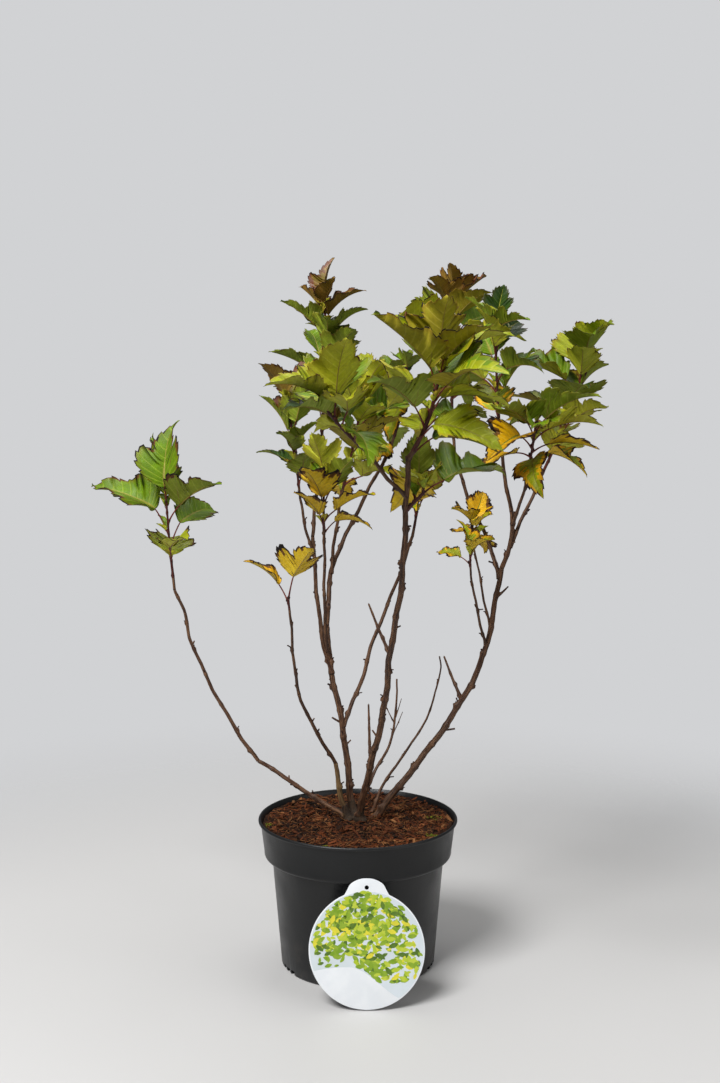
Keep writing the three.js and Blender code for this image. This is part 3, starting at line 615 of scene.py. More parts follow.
# body, second tone, veins, margin, roughness, then the relief and shares of veins and margin if unlike most
leafTones = {
    "leafGreen": ((112, 146, 16), (86, 114, 12), (170, 184, 62), (124, 98, 16), 0.42),
    # leafDeep's dark green is partly the leaves' own dark tone and partly painted shade of the inner crown
    "leafDeep": ((44, 74, 10), (32, 52, 8), (104, 122, 42), (70, 50, 12), 0.4),
    "leafLime": ((164, 174, 20), (128, 142, 14), (200, 204, 82), (156, 120, 20), 0.44),
    "leafGold": ((232, 180, 10), (212, 164, 14), (234, 208, 80), (178, 100, 12), 0.48),
    "leafBronze": ((136, 100, 24), (112, 108, 18), (160, 138, 56), (104, 54, 16), 0.42),
    "leafRusset": ((116, 60, 24), (96, 70, 18), (144, 96, 50), (78, 30, 14), 0.42),
    # the underside tones are partly the leaves' paler undersides and partly painted light: they are brighter to stand
    # for light shining through the leaf
    "underLime": ((206, 210, 52), (178, 186, 38), (218, 212, 96), (158, 134, 30), 0.58, 0.8),
    "underGreen": ((150, 168, 42), (122, 140, 30), (188, 190, 86), (130, 110, 28), 0.56, 0.8),
    "underOlive": ((184, 172, 46), (158, 146, 32), (204, 188, 86), (140, 92, 26), 0.56, 0.8),
    "underGold": ((244, 210, 38), (224, 186, 30), (232, 210, 96), (168, 110, 26), 0.56, 0.8),
    "underBronze": ((158, 122, 44), (134, 114, 34), (176, 138, 74), (124, 66, 28), 0.56, 0.8),
    "leafRib": ((150, 150, 50), (132, 130, 40), (186, 172, 80), (146, 108, 40), 0.5, -1.0, 0.0, 0.0),
    "scorchDark": ((34, 20, 14), (22, 14, 10), (50, 30, 18), (20, 12, 8), 0.72, -1.0, 0.3, 0.6),
    "scorchTan": ((104, 66, 22), (128, 88, 24), (120, 84, 36), (78, 44, 18), 0.66, -1.0, 0.3, 0.4),
}
# body, streaks, cracks, pores, second tone, roughness, how fine the grain is
barkTones = {
    # barkBrown's light streaks are partly peeling bark and partly a painted highlight, its near-black cracks partly
    # the fissures' own dark and partly painted shade
    "barkBrown": ((70, 43, 29), (136, 98, 68), (16, 9, 7), (146, 114, 84), (44, 27, 19), 0.56, 1.0),
    "barkOld": ((84, 60, 38), (134, 106, 66), (26, 17, 11), (106, 94, 52), (90, 70, 42), 0.82, 0.7),
    "barkFoot": ((40, 28, 20), (74, 54, 38), (15, 10, 7), (84, 76, 40), (54, 42, 27), 0.85, 0.6),
    "barkRed": ((74, 31, 27), (98, 50, 40), (34, 13, 14), (108, 68, 54), (56, 22, 24), 0.5, 1.3),
    "stalkRed": ((120, 42, 36), (140, 70, 46), (76, 24, 26), (132, 78, 52), (84, 28, 32), 0.48, 1.6),
    "ribPale": ((160, 140, 60), (172, 148, 76), (136, 100, 50), (164, 142, 74), (148, 108, 52), 0.5, 1.6),
    "budBrown": ((48, 26, 20), (74, 42, 30), (24, 12, 10), (74, 46, 34), (38, 20, 16), 0.6, 1.8),
    "cutWood": ((112, 88, 60), (138, 112, 80), (74, 54, 36), (116, 92, 62), (92, 70, 46), 0.8, 1.5),
}
leafFinishes = [leafFinish(name, *tones) for name, tones in leafTones.items()]
leafSlot = {name: i for i, name in enumerate(leafTones)}
barks = {name: barkFinish(name, *tones) for name, tones in barkTones.items()}
twigFinishes = [barks[name] for name in ("barkBrown", "barkRed", "stalkRed", "ribPale", "budBrown", "cutWood")]
print("plant finishes made")


# ---- limbs with bark relief

limbLook = {
    "columns": 14, "row": 1.9, "nodeEvery": 27, "nodeTurn": 144, "nodeSpan": 1.9, "swell": 0.18,
    "knob": 0.7, "knobTurn": 0.6, "ripple": 0.05, "kink": 0.7, "kinkWave": 0.11, "hold": 12, "collar": 0.45,
    "collarReach": 5, "footSwell": 0.25, "footReach": 14, "bareFoot": 14, "seedShift": 0.013,
}
budLook = {"length": 3.2, "width": 1.15, "lean": 0.45, "out": 1.4, "up": 0.8}
stubLook = {"share": 0.65, "upTo": 0.85, "reach": (2.2, 5.5), "taper": (1.5, 1.3, 1.05, 0.95, 0.9, 1.0, 0.8)}
spurLook = {"budded": 15, "row": 1.4, "nodeEvery": 11, "ends": (0.5, 0.72), "collar": 0.5, "collarReach": 2.5}
crownFoot = {
    "reach": 17, "flare": 2.6, "swell": 1.25, "voxel": 0.6, "past": 5, "rows": 16, "columns": 18, "ease": (3, 0.4),
}
oldLimbs = ("old_left_stem", "crown_foot")


def traceLimbs():  # gives each limb its full path, starting on the centreline of what carries it
    traced = {}
    for limb in limbs:
        path = [np.array(p, dtype=float) for p in limb["path"]]
        carrier = traced.get(limb["on"])
        if carrier:
            at = limb.get("at")
            path.insert(0, pointAtHeight(carrier["points"], at) if at else carrier["points"][-1])
        traced[limb["name"]] = {**limb, "path": path, "points": spacedPoints(path, 24)}
    return traced


def limbNodes(length, seed, every):  # where buds and leaf scars sit: (distance along, heading round the limb)
    draw = seededRandom(seed)
    nodes, at, k = [], every * (0.35 + 0.4 * draw()), 0
    while at < length - 4:
        nodes.append((at, math.radians(k * limbLook["nodeTurn"] + 30 * draw())))
        at += every * (0.75 + 0.5 * draw())
        k += 1
    return nodes


def reliefAt(run, angle, nodes, seed):  # how much thicker the limb is at a spot of its bark
    s = limbLook
    draw = seededRandom(seed)
    phases = [draw() * 6.28 for _ in range(4)]
    waves = np.sin(3 * angle + 0.23 * run + phases[0]) + np.sin(5 * angle - 0.31 * run + phases[1])
    waves = waves + np.sin(2 * angle + 0.55 * run + phases[2]) + 0.6 * np.sin(7 * angle + 0.9 * run + phases[3])
    thick = 1 + s["ripple"] * waves * 0.5
    for at, heading in nodes:
        near = np.exp(-(((run - at) / s["nodeSpan"]) ** 2))
        turn = np.angle(np.exp(1j * (angle - heading)))
        thick = thick + near * (s["swell"] + s["knob"] * np.exp(-((turn / s["knobTurn"]) ** 2)))
    return thick


def barkTube(bm, points, radii, nodes=(), seed=1, slot=0, columns=limbLook["columns"], endSlot=None):
    place = bm.verts.layers.float_vector["barkPlace"]
    sides, crosses = ringFrames(points)
    run = runAlong(points)
    rings, shift = len(points), seed * limbLook["seedShift"]
    made = bmesh.ops.create_grid(bm, x_segments=columns, y_segments=rings + 1, size=1.0)["verts"]
    grid = np.array([v.co[:] for v in made])
    angle = (grid[:, 0] + 1) * math.pi
    row = np.rint((grid[:, 1] + 1) / 2 * (rings + 1)).astype(int) - 1
    ring = np.clip(row, 0, rings - 1)
    base = np.array(radii)[ring]
    radius = base * reliefAt(run[ring], angle, nodes, seed)
    radius[(row < 0) | (row >= rings)] = 0
    outward = sides[ring] * np.cos(angle)[:, None] + crosses[ring] * np.sin(angle)[:, None]
    spots = points[ring] + outward * radius[:, None]
    for v, spot, a, r, along in zip(made, spots * mm, angle, base * mm, run[ring] * mm):
        v.co = spot
        v[place] = (math.cos(a) * r, math.sin(a) * r, along + shift)
    for f in {f for v in made for f in v.link_faces}:
        atEnd = endSlot is not None and all(v[place][2] - shift > (run[-1] - 0.5) * mm for v in f.verts)
        f.material_index = endSlot if atEnd else slot
    bmesh.ops.remove_doubles(bm, verts=made, dist=1e-7)


def addBud(bm, spot, way, out, size, slot):  # a pointed bud lying against its twig
    place = bm.verts.layers.float_vector["barkPlace"]
    lean, middle = Vector(unit(way + out * budLook["lean"])), Vector(spot * mm)
    turn = lean.to_track_quat("Z", "Y").to_matrix().to_4x4()
    length, width = budLook["length"] * size * mm, budLook["width"] * size * mm
    shape = Matrix.Translation(middle) @ turn @ Matrix.Diagonal((width, width, length, 1))
    made = bmesh.ops.create_uvsphere(bm, u_segments=7, v_segments=6, radius=0.5, matrix=shape)["verts"]
    for v in made:
        up = (v.co - middle).dot(lean) / length + 0.5
        v.co = v.co.lerp(middle + lean * (up - 0.5) * length, max(0, up - 0.35) ** 1.5 * 0.55)
        v[place] = v.co
        for f in v.link_faces:
            f.material_index = slot


def stemLine(points, length, seed, kink):  # a finer centreline with a slight zigzag from node to node
    rows, every = max(4, int(length / limbLook["row"])), limbLook["nodeEvery"]
    marks, wanted = np.linspace(0, 1, len(points)), np.linspace(0, 1, rows + 1)
    fine = np.stack([np.interp(wanted, marks, points[:, k]) for k in range(3)], axis=1)
    sides, crosses = ringFrames(fine)
    run = np.linspace(0, length, rows + 1)
    swing = np.interp(run % (2 * every), [0, every, 2 * every], [-1, 1, -1])
    hold = np.minimum(1, np.minimum(run, length - run) / limbLook["hold"])[:, None]
    sway = np.sin(run * limbLook["kinkWave"] + seed) * kink * 0.5
    return fine + sides * (swing * kink)[:, None] * hold + crosses * sway[:, None] * hold


def outAt(frames, i, heading):  # the way out from the line's point i, at a heading round it
    return frames[0][i] * math.cos(heading) + frames[1][i] * math.sin(heading)


def limbRadii(limb, share, run):
    s = limbLook
    radii = mix(limb["thick"][0], limb["thick"][1], share)
    if limb["on"] in ("crown_foot", "soil"):
        radii = radii * (1 + s["footSwell"] * np.exp(-run / s["footReach"]))
    if limb["on"] == "soil":
        radii = radii + crownFoot["flare"] * np.clip(1 - run / crownFoot["reach"] * 2, 0, 1) ** 2
    elif limb.get("at"):
        radii = radii * (1 + s["collar"] * np.exp(-((run / s["collarReach"]) ** 2)))
    return radii


def addStub(bm, foot, way, out, radius, draw, seed):  # a snapped or pruned side twig
    reach = mix(*stubLook["reach"], draw() ** 1.5)
    lean = unit(out + unit(way) * (0.2 + draw()))
    marks = [foot, foot + lean * (radius + reach * 0.5), foot + lean * (radius + reach) + out * 0.4]
    thick = min(radius * 0.5, 0.5 + 0.5 * draw())
    barkTube(bm, spacedPoints(marks, 6), thick * np.array(stubLook["taper"]), (), seed, 1, 7)


def addSpur(bm, limb, height, heading, climb, reach):  # a side twig; the long ones have buds, the rest a cut end
    s = spurLook
    foot, way = pointAtHeight(limb["points"], height), direction(heading, climb)
    budded, seed = reach > s["budded"], int(height)
    tip = foot + way * reach + np.array([0, 0, reach * 0.06])
    spur = spacedPoints([foot, foot + way * reach * 0.5, tip], max(6, int(reach / s["row"])))
    along = np.linspace(0, 1, len(spur))
    nodes = limbNodes(reach, seed, s["nodeEvery"]) if budded else []
    thick = min(limb["thick"][1] * 0.75, 0.6 + reach * 0.05)
    wide = mix(thick, thick * s["ends"][0 if budded else 1], along)
    wide = wide * (1 + s["collar"] * np.exp(-((along * reach / s["collarReach"]) ** 2)))
    barkTube(bm, spur, wide, nodes, seed, 0, 9, None if budded else 2)
    frames = ringFrames(spur)
    for at, turn in nodes:
        i = int(at / reach * (len(spur) - 1))
        out = outAt(frames, i, turn)
        addBud(bm, spur[i] + out * wide[i] * budLook["out"], unit(way), out, 0.55, 1)
    if budded:
        addBud(bm, spur[-1], unit(way), np.zeros(3), 0.6, 1)


def makeLimb(limb, seed):
    bm = bmesh.new()
    bm.verts.layers.float_vector.new("barkPlace")
    points = spacedPoints(limb["path"], 60)
    length = curveLength(points)
    line = stemLine(points, length, seed, limbLook["kink"])
    nodes = limbNodes(length, seed * 31 + 7, limbLook["nodeEvery"])
    share = np.linspace(0, 1, len(line))
    radii = limbRadii(limb, share, share * length)
    barkTube(bm, line, radii, nodes, seed)
    frames, ways = ringFrames(line), np.gradient(line, axis=0)
    draw = seededRandom(seed * 17 + 3)
    for at, heading in (node for node in nodes if node[0] >= limbLook["bareFoot"]):
        i = min(int(at / length * (len(line) - 1)) + 1, len(line) - 1)
        out = outAt(frames, i, heading)
        if draw() < stubLook["share"] and at < length * stubLook["upTo"]:
            addStub(bm, line[i], ways[i], out, radii[i], draw, i)
        spot = line[i] + out * radii[i] * budLook["out"] + unit(ways[i]) * budLook["up"]
        addBud(bm, spot, unit(ways[i]), out, 0.7 + 0.3 * draw(), 1)
    for spur in limb.get("spurs", ()):
        addSpur(bm, limb, *spur)
    bmesh.ops.recalc_face_normals(bm, faces=bm.faces)
    old = limb["name"] in oldLimbs
    finishes = [barks["barkOld" if old else "barkBrown"], barks["budBrown"], barks["cutWood"]]
    mesh = meshFromBmesh(bm, limb["name"] + "_bark", finishes)
    finished(mesh, limb["name"] + "_bark", limb["name"])


def makeCrownFoot(traced):  # the shared foot: the stems' flares grown together into one burl
    s = crownFoot
    bm = bmesh.new()
    bm.verts.layers.float_vector.new("barkPlace")
    for k, limb in enumerate(l for l in traced.values() if l["on"] == "crown_foot"):
        line = spacedPoints(limb["path"], 400)
        run, wanted = runAlong(line), np.linspace(0, s["reach"] + s["past"], s["rows"])
        line = np.stack([np.interp(wanted, run, line[:, a]) for a in range(3)], axis=1)
        part = np.linspace(0, 1, len(line))
        radii = limb["thick"][0] * (s["swell"] - 0.2 * part) + s["flare"] * (1 - part) ** 2
        barkTube(bm, line, radii, [(7 + k, 1.3 * k)], 50 + k, 0, s["columns"])
    bmesh.ops.recalc_face_normals(bm, faces=bm.faces)
    draft = linked("crownRough", meshFromBmesh(bm, "crownRough", [barks["barkOld"]]))
    fuse = draft.modifiers.new("fuse", "REMESH")
    fuse.mode, fuse.voxel_size, fuse.use_smooth_shade = "VOXEL", s["voxel"] * mm, True
    ease = draft.modifiers.new("ease", "SMOOTH")
    ease.iterations, ease.factor = s["ease"]
    mesh = settledMesh(draft)
    if "barkPlace" in mesh.attributes:
        mesh.attributes.remove(mesh.attributes["barkPlace"])
    spots = np.empty(len(mesh.vertices) * 3)
    mesh.vertices.foreach_get("co", spots)
    setBarkPlace(mesh, spots)
    mesh.materials.clear()
    mesh.materials.append(barks["barkFoot"])
    finished(mesh, "crown_foot_bark", "crown_foot")


tracedLimbs = traceLimbs()
for index, each in enumerate(tracedLimbs.values()):
    makeLimb(each, index + 3)
makeCrownFoot(tracedLimbs)
print("limbs grown:", len(tracedLimbs))


# ---- the growth rule: where each leaf of a shoot stands

growth = {
    "clearOfLimbs": 4, "clearOfNeighbours": 2.5, "clearOfLeaves": 5.5, "divergence": 144, "crowding": 1.35,
    "stalk": (0.46, 0.26), "stalkClimb": (28, 66), "climb": (4, 56), "climbEase": 1.2,
    "fold": (0.3, 0.65), "arch": (0.65, 0.4), "oldestSize": 0.82,
    "sizes": (1, 0.85, 0.7), "swings": (0, 24, -24, 48, -48, 72, -72), "rises": (0, 18, -14),
}
stray = {"heading": 20, "stalk": 10, "climb": 16, "veer": 24, "roll": 28, "fold": 0.12, "arch": 0.2, "size": 0.1}
tries = list(itertools.product(growth["sizes"], growth["swings"], growth["rises"]))

def traceShoots():
    made = []
    for shoot in shoots:
        limb = tracedLimbs[shoot["on"]]
        at = shoot.get("at")
        start = pointAtHeight(limb["points"], at) if at else limb["points"][-1]
        path = [start] + [np.array(p, dtype=float) for p in shoot["path"]]
        made.append({**shoot, "path": path, "thick": (limb["thick"][1], 0.9), "points": spacedPoints(path, 24)})
    return made


def nearest(spots, chain):  # distance from each spot to a chain of straight stretches
    starts, ends = chain[:-1], chain[1:]
    way = ends - starts
    rel = spots[:, None] - starts[None]
    share = np.clip((rel * way).sum(-1) / (way * way).sum(-1), 0, 1)
    return np.linalg.norm(rel - share[..., None] * way, axis=-1).min(1)


tracedShoots = traceShoots()
shootChains = [spacedPoints(s["path"], 8) for s in tracedShoots]
limbChains = [(spacedPoints(l["path"], 8), l["thick"][0]) for l in tracedLimbs.values()]


def growLeaf(shoot, share, heading, lift, size, astray):
    g = {**growth, **shoot.get("ageing", {})}
    foot = pointAlong(shoot["points"], mix(shoot["from"], 1, 1 - (1 - share) ** g["crowding"]))
    age = mix(g["oldestSize"], 1, share * 2) if share < 0.5 else mix(1, shoot["tip"], share * 2 - 1)
    length = shoot["blade"] * size * age * (1 + astray["size"])
    climb = mix(*g["climb"], share ** g["climbEase"]) + lift + astray["climb"]
    stalk = direction(heading, mix(*g["stalkClimb"], share) + lift / 2 + astray["stalk"])
    along = direction(heading + astray["veer"], climb)
    level = levelAcross(along)
    roll = math.radians(astray["roll"])
    side = level * math.cos(roll) + np.cross(along, level) * math.sin(roll)
    base = foot + stalk * length * mix(*g["stalk"], share)
    return {
        "foot": foot, "stalk": stalk, "base": base, "along": along, "side": side, "face": np.cross(side, along),
        "length": length, "fold": mix(*g["fold"], share) + astray["fold"],
        "arch": mix(*g["arch"], share) + astray["arch"], "share": share,
    }


def archOf(blade, up):  # how far along and how far down the arched blade has got
    return np.sin(blade["arch"] * up) / blade["arch"], (1 - np.cos(blade["arch"] * up)) / blade["arch"]


def placesOn(blade, forward, sideways, lift):
    out = blade["along"] * forward[:, None] + blade["side"] * sideways[:, None] + blade["face"] * lift[:, None]
    return blade["base"] + out * blade["length"]


def bladeSpots(blade, across, up):  # the plain blade that the CAD leaves have
    forward, drop = archOf(blade, up)
    return placesOn(blade, forward, across, blade["fold"] * np.abs(across) - drop)


testAcross = np.array([0] + [k * reach for reach in (0.3, 0.5, 0.3, 0.16) for k in (-1, -0.5, 0, 0.5, 1)] + [0])
testUp = np.array([0.03] + [up for up in (0.22, 0.45, 0.65, 0.85) for _ in range(5)] + [1])


def hasRoom(spots, own, grown):
    home = nearest(spots, shootChains[own]) + growth["clearOfNeighbours"]
    if any((nearest(spots, chain) < home).any() for i, chain in enumerate(shootChains) if i != own):
        return False
    if any((nearest(spots, chain) < radius + growth["clearOfLimbs"]).any() for chain, radius in limbChains):
        return False
    outer = spots[1:]
    return all(np.linalg.norm(outer[:, None] - held[None], axis=-1).min() > growth["clearOfLeaves"] for held in grown)


def growLeaves(shoot, own):
    draw = seededRandom(shoot["seed"])
    grown, taken = [], []
    for k in range(shoot["leaves"]):
        share = k / (shoot["leaves"] - 1)
        astray = {trait: most * (draw() * 2 - 1) for trait, most in stray.items()}
        heading = shoot["turn"] + k * growth["divergence"] + astray["heading"]
        for size, swing, rise in tries:
            blade = growLeaf(shoot, share, heading + swing, shoot["lift"] + rise, size, astray)
            spots = bladeSpots(blade, testAcross, testUp)
            if hasRoom(spots, own, taken):
                grown.append({**blade, "heading": heading + swing})
                taken.append(spots[1:])
                break
    return grown


# ---- the leaf: a toothed, three-lobed blade made once from a grid and bent for each place

# half outlines from the foot to the tip, for a blade one long
leafShapes = {
    "broad": [
        (0, 0), (0.14, 0.02), (0.28, 0.11), (0.38, 0.24), (0.43, 0.37), (0.4, 0.5),
        (0.22, 0.52), (0.245, 0.62), (0.2, 0.74), (0.11, 0.88), (0, 1),
    ],
    "deep": [
        (0, 0), (0.15, 0.02), (0.3, 0.09), (0.42, 0.22), (0.48, 0.38), (0.46, 0.54),
        (0.17, 0.45), (0.215, 0.57), (0.185, 0.7), (0.1, 0.87), (0, 1),
    ],
    "plain": [
        (0, 0), (0.12, 0.04), (0.24, 0.14), (0.33, 0.28), (0.36, 0.4), (0.31, 0.5),
        (0.24, 0.55), (0.235, 0.65), (0.18, 0.77), (0.095, 0.89), (0, 1),
    ],
}
midribMarks = [0, 0, 0.02, 0.06, 0.11, 0.19, 0.34, 0.43, 0.56, 0.78, 1]  # where each mark's side vein leaves
toothSize = [0, 0.4, 0.9, 1.1, 1.1, 0.9, 0.6, 0.8, 1.1, 1.0, 0.9, 0.6]
leafLook = {
    "tooth": 0.042, "toothLean": 0.5, "toothSet": 0.3, "toothFall": 0.93, "thickness": 0.42, "thinEdge": 0.45,
    "quilt": 0.003, "ruffle": 0.05, "droop": 0.3, "twist": 0.5, "curlFrom": 0.55, "sag": 0.02,
    "fold": 1.4, "arch": 0.12, "width": (0.84, 1.0), "full": 30, "ruffles": (0.35, 0.9), "waves": (2.4, 1.8),
    "curl": 0.5, "youngFold": (0.75, 0.3), "youngArch": (0.2, 0.5), "youngWidth": 0.8, "youngStalk": 0.3,
}


def outlineAt(outline, run, row):
    return np.array([np.interp(row, run, outline[:, 0]), np.interp(row, run, outline[:, 1])])


def makeLeafShape(outline, steps, columns):
    s = leafLook
    outline = np.array(outline, dtype=float)
    run = runAlong(outline)
    run /= run[-1]
    rows, half = steps * leafTeeth, len(columns) - 1
    bm = bmesh.new()
    reachOf = bm.verts.layers.float.new("reach")
    rowOf = bm.verts.layers.float.new("row")
    leafMap = bm.loops.layers.uv.new("leafMap")
    made = bmesh.ops.create_grid(bm, x_segments=2 * half, y_segments=rows, size=1.0)["verts"]
    for v in made:
        j = round((v.co.x + 1) * half) - half
        i = round((v.co.y + 1) / 2 * rows)
        tooth, step = min(i // steps, leafTeeth - 1), i % steps
        phase = step / (steps - 1) if i < rows else 0
        row = (tooth + s["toothFall"] * phase) / leafTeeth if i < rows else 1.0
        reach, way = columns[abs(j)], 1 if j > 0 else -1
        ahead = outlineAt(outline, run, min(row + 0.04, 1)) - outlineAt(outline, run, max(row - 0.04, 0))
        ahead /= np.linalg.norm(ahead)
        out = np.array([ahead[1], -ahead[0]]) + ahead * s["toothLean"]
        edge = outlineAt(outline, run, row)
        edge = edge + out * s["tooth"] * toothSize[tooth] * (phase - s["toothSet"]) * (i not in (0, rows))
        rib = np.array([0, np.interp(row, run, midribMarks)])
        spot = rib + (edge - rib) * reach + np.array([0, -s["sag"] * math.sin(math.pi * reach)]) * (0 < row < 0.95)
        for loop in v.link_loops:
            loop[leafMap].uv = ((reach * way + 1) / 2, row)
        if i in (0, rows):
            spot, reach = (rib if i else np.array([0.0, 0.0])), 0.0
        v.co = (spot[0] * way, spot[1], 0.5)
        v[reachOf], v[rowOf] = reach, row
    bmesh.ops.remove_doubles(bm, verts=bm.verts, dist=1e-5)
    bmesh.ops.dissolve_degenerate(bm, edges=bm.edges, dist=1e-6)
    thicken(bm, 1)
    bmesh.ops.recalc_face_normals(bm, faces=bm.faces)
    shape = readShape(bm)
    shape["reach"] = np.array([v[reachOf] for v in bm.verts])
    shape["row"] = np.array([v[rowOf] for v in bm.verts])
    shape["map"] = np.array([loop[leafMap].uv[:] for f in bm.faces for loop in f.loops])
    level = np.array([f.calc_center_median().z for f in bm.faces])
    uv = np.array([np.mean([loop[leafMap].uv[:] for loop in f.loops], axis=0) for f in bm.faces])
    shape["top"], shape["under"] = level > 0.4, level < -0.4
    shape["faceReach"], shape["faceRow"] = np.abs(uv[:, 0] * 2 - 1), uv[:, 1]
    shape["faceSide"] = (uv[:, 0] > 0.5).astype(int)
    bm.free()
    return shape


fullColumns = [0, 0.06, 0.32, 0.62, 0.84, 0.95, 1]
fullLeaves = [makeLeafShape(leafShapes[k], 3, fullColumns) for k in ("deep", "broad", "plain", "deep")]
youngLeaf = makeLeafShape(leafShapes["plain"], 2, [0, 0.5, 1])


def surfacePlaces(blade, across, up, reach, row):
    s = leafLook
    spread, way = np.abs(across), np.sign(across)
    wave = np.sin(2 * math.pi * (blade["waves"] * row + blade["phase"] + 0.31 * way)) * reach**2
    quilt = -np.cos(2 * math.pi * (row * leafTeeth - s["toothFall"])) * reach * (1 - reach) * 4
    forward, drop = archOf(blade, up)
    lift = blade["fold"] * s["fold"] * spread - s["droop"] * spread**2 - drop
    lift = lift + blade["ruffle"] * wave + s["quilt"] * quilt
    lift = lift - blade["curl"] * np.clip(up - s["curlFrom"], 0, 1) ** 2
    turn = blade["twist"] * up
    sideways, lift = across * np.cos(turn) - lift * np.sin(turn) * 0.3, lift + across * np.sin(turn)
    return placesOn(blade, forward, sideways, lift)


def bendLeaf(blade, shape, slots):
    across, up, level = shape["spots"][:, 0] * blade["width"], shape["spots"][:, 1], shape["spots"][:, 2]
    edgeward = shape["reach"], shape["row"]
    step = 0.01
    spots = surfacePlaces(blade, across, up, *edgeward)
    ahead = surfacePlaces(blade, across, up + step, *edgeward) - spots
    right, left = (surfacePlaces(blade, across + e, up, *edgeward) for e in (step, -step))
    normal = np.cross(right - left, ahead)
    normal /= np.linalg.norm(normal, axis=1)[:, None]
    if np.dot(normal.mean(0), blade["face"]) < 0:
        normal = -normal
    s = leafLook
    thick = s["thickness"] * (1 - s["thinEdge"] * shape["reach"]) * min(1, blade["length"] / s["full"])
    spots = spots + normal * (level * thick)[:, None]
    return {**shape, "spots": spots * mm, "slots": slots}


# how a leaf is dressed: (inner top, outer top, underside, how far its margin is scorched)
looks = {
    "lime": ("leafLime", "leafLime", "underLime", 0.12), "green": ("leafGreen", "leafGreen", "underGreen", 0.08),
    # the deep and shade looks wear leafDeep: partly dark leaves, partly painted shade deep in the crown
    "fresh": ("leafGreen", "leafGreen", "underLime", 0.1), "deep": ("leafDeep", "leafDeep", "underGreen", 0.05),
    "olive": ("leafLime", "leafGreen", "underOlive", 0.2), "shade": ("leafDeep", "leafDeep", "underGreen", 0.1),
    "turning": ("leafLime", "leafGold", "underGold", 0.6), "gold": ("leafGold", "leafGold", "underGold", 0.9),
    "bronze": ("leafBronze", "leafBronze", "underOlive", 0.15),
    "brown": ("leafBronze", "leafRusset", "underBronze", 0.25),
}
moods = {  # looks for the lowest, the middle and the top leaves of a shoot
    "fresh": (("turning", "lime", "olive"), ("green", "lime", "fresh", "shade"), ("fresh", "green", "lime", "olive")),
    "green": (("lime", "turning", "green"), ("green", "shade", "lime", "fresh"), ("green", "deep", "fresh")),
    "dark": (("green", "lime", "shade"), ("deep", "green", "brown", "shade"), ("deep", "brown", "green", "brown")),
    "turning": (("gold", "gold", "turning"), ("lime", "green", "fresh"), ("green", "fresh", "bronze")),
    "gold": (("gold", "gold", "turning"), ("gold", "turning"), ("gold", "turning", "lime")),
    "golden": (("gold",), ("gold",), ("gold",)),
    "edged": (("lime", "green", "lime"), ("green", "lime", "green"), ("green", "fresh", "green")),
    "topped": (("green", "lime", "fresh"), ("lime", "green", "bronze", "fresh"), ("deep", "brown", "shade", "brown")),
    "bronzed": (("lime", "green", "shade"), ("olive", "lime", "fresh"), ("bronze", "lime", "olive")),
}


dressing = {
    "patch": (0.35, 0.5), "rib": 0.04, "rag": 0.25, "deepest": 0.22, "footShare": 0.35, "footFade": 1.6,
    "tan": (1.9, 0.02), "dark": (1.0, 0.015),
}


def dressLeaf(shape, look, draw, scorchMore=1.0):  # which finish each face wears
    s = dressing
    inner, outer, under, scorch = looks[look]
    scorch = min(1.0, scorch * scorchMore)
    ragged = np.array([[draw() for _ in range(leafTeeth * 2 + 1)] for _ in range(2)])
    spot = np.minimum((shape["faceRow"] * leafTeeth * 2).astype(int), leafTeeth * 2)
    roll = ragged[shape["faceSide"], spot]
    reach, row = shape["faceReach"], shape["faceRow"]
    # undersides wear the brighter under tones, partly painted light shining through the leaf
    slots = np.where(shape["under"], leafSlot[under], leafSlot[inner])
    patch = ~shape["under"] & (reach > s["patch"][0] + s["patch"][1] * roll)
    slots = np.where(patch, leafSlot[outer], slots)
    slots = np.where(shape["top"] & (reach < s["rib"]), leafSlot["leafRib"], slots)
    far = s["footShare"] + (1 - s["footShare"]) * np.clip(row * s["footFade"], 0, 1)  # least at the foot
    depth = scorch * far * (s["rag"] + roll) * s["deepest"]
    for finish, (wide, least) in (("scorchTan", s["tan"]), ("scorchDark", s["dark"])):
        slots = np.where((reach > 1 - depth * wide) & (depth > least), leafSlot[finish], slots)
    return slots


def tubeShape(points, radii, sides, slot, seed=0):  # a small closed tube for twigs, stalks and ribs
    first, second = (cross[:, None] for cross in ringFrames(points))
    angle = np.arange(sides) / sides * 2 * math.pi
    radii = np.asarray(radii, dtype=float)
    if radii.ndim == 1:
        radii = np.repeat(radii[:, None], sides, axis=1)
    outward = first * np.cos(angle)[None, :, None] + second * np.sin(angle)[None, :, None]
    rings = points[:, None] + outward * radii[..., None]
    wide, run = radii.mean(), runAlong(points)[:, None]
    marks = (np.cos(angle) * wide, np.sin(angle) * wide, run + seed * 13.0)
    place = np.stack([np.broadcast_to(mark, radii.shape) for mark in marks], axis=-1).reshape(-1, 3) * mm
    count = len(points)
    i, j = np.meshgrid(np.arange(count - 1), np.arange(sides), indexing="ij")
    k = (j + 1) % sides
    quads = np.stack([i * sides + j, i * sides + k, (i + 1) * sides + k, (i + 1) * sides + j], axis=-1).reshape(-1)
    ends = np.concatenate([np.arange(sides)[::-1], (count - 1) * sides + np.arange(sides)])
    sizes = np.concatenate([np.full((count - 1) * sides, 4), [sides, sides]])
    return {
        "spots": rings.reshape(-1, 3) * mm, "corners": np.concatenate([quads, ends]), "sizes": sizes,
        "slots": np.full(len(sizes), slot), "place": place,
    }


def budShape(spot, way, size, seed):  # a small pointed bud as a short tube
    line = spot + unit(way) * np.array([0, 0.2, 0.5, 0.8, 1.0])[:, None] * size
    return tubeShape(line, np.array([0.22, 0.36, 0.34, 0.18, 0.03]) * size, 6, 4, seed)


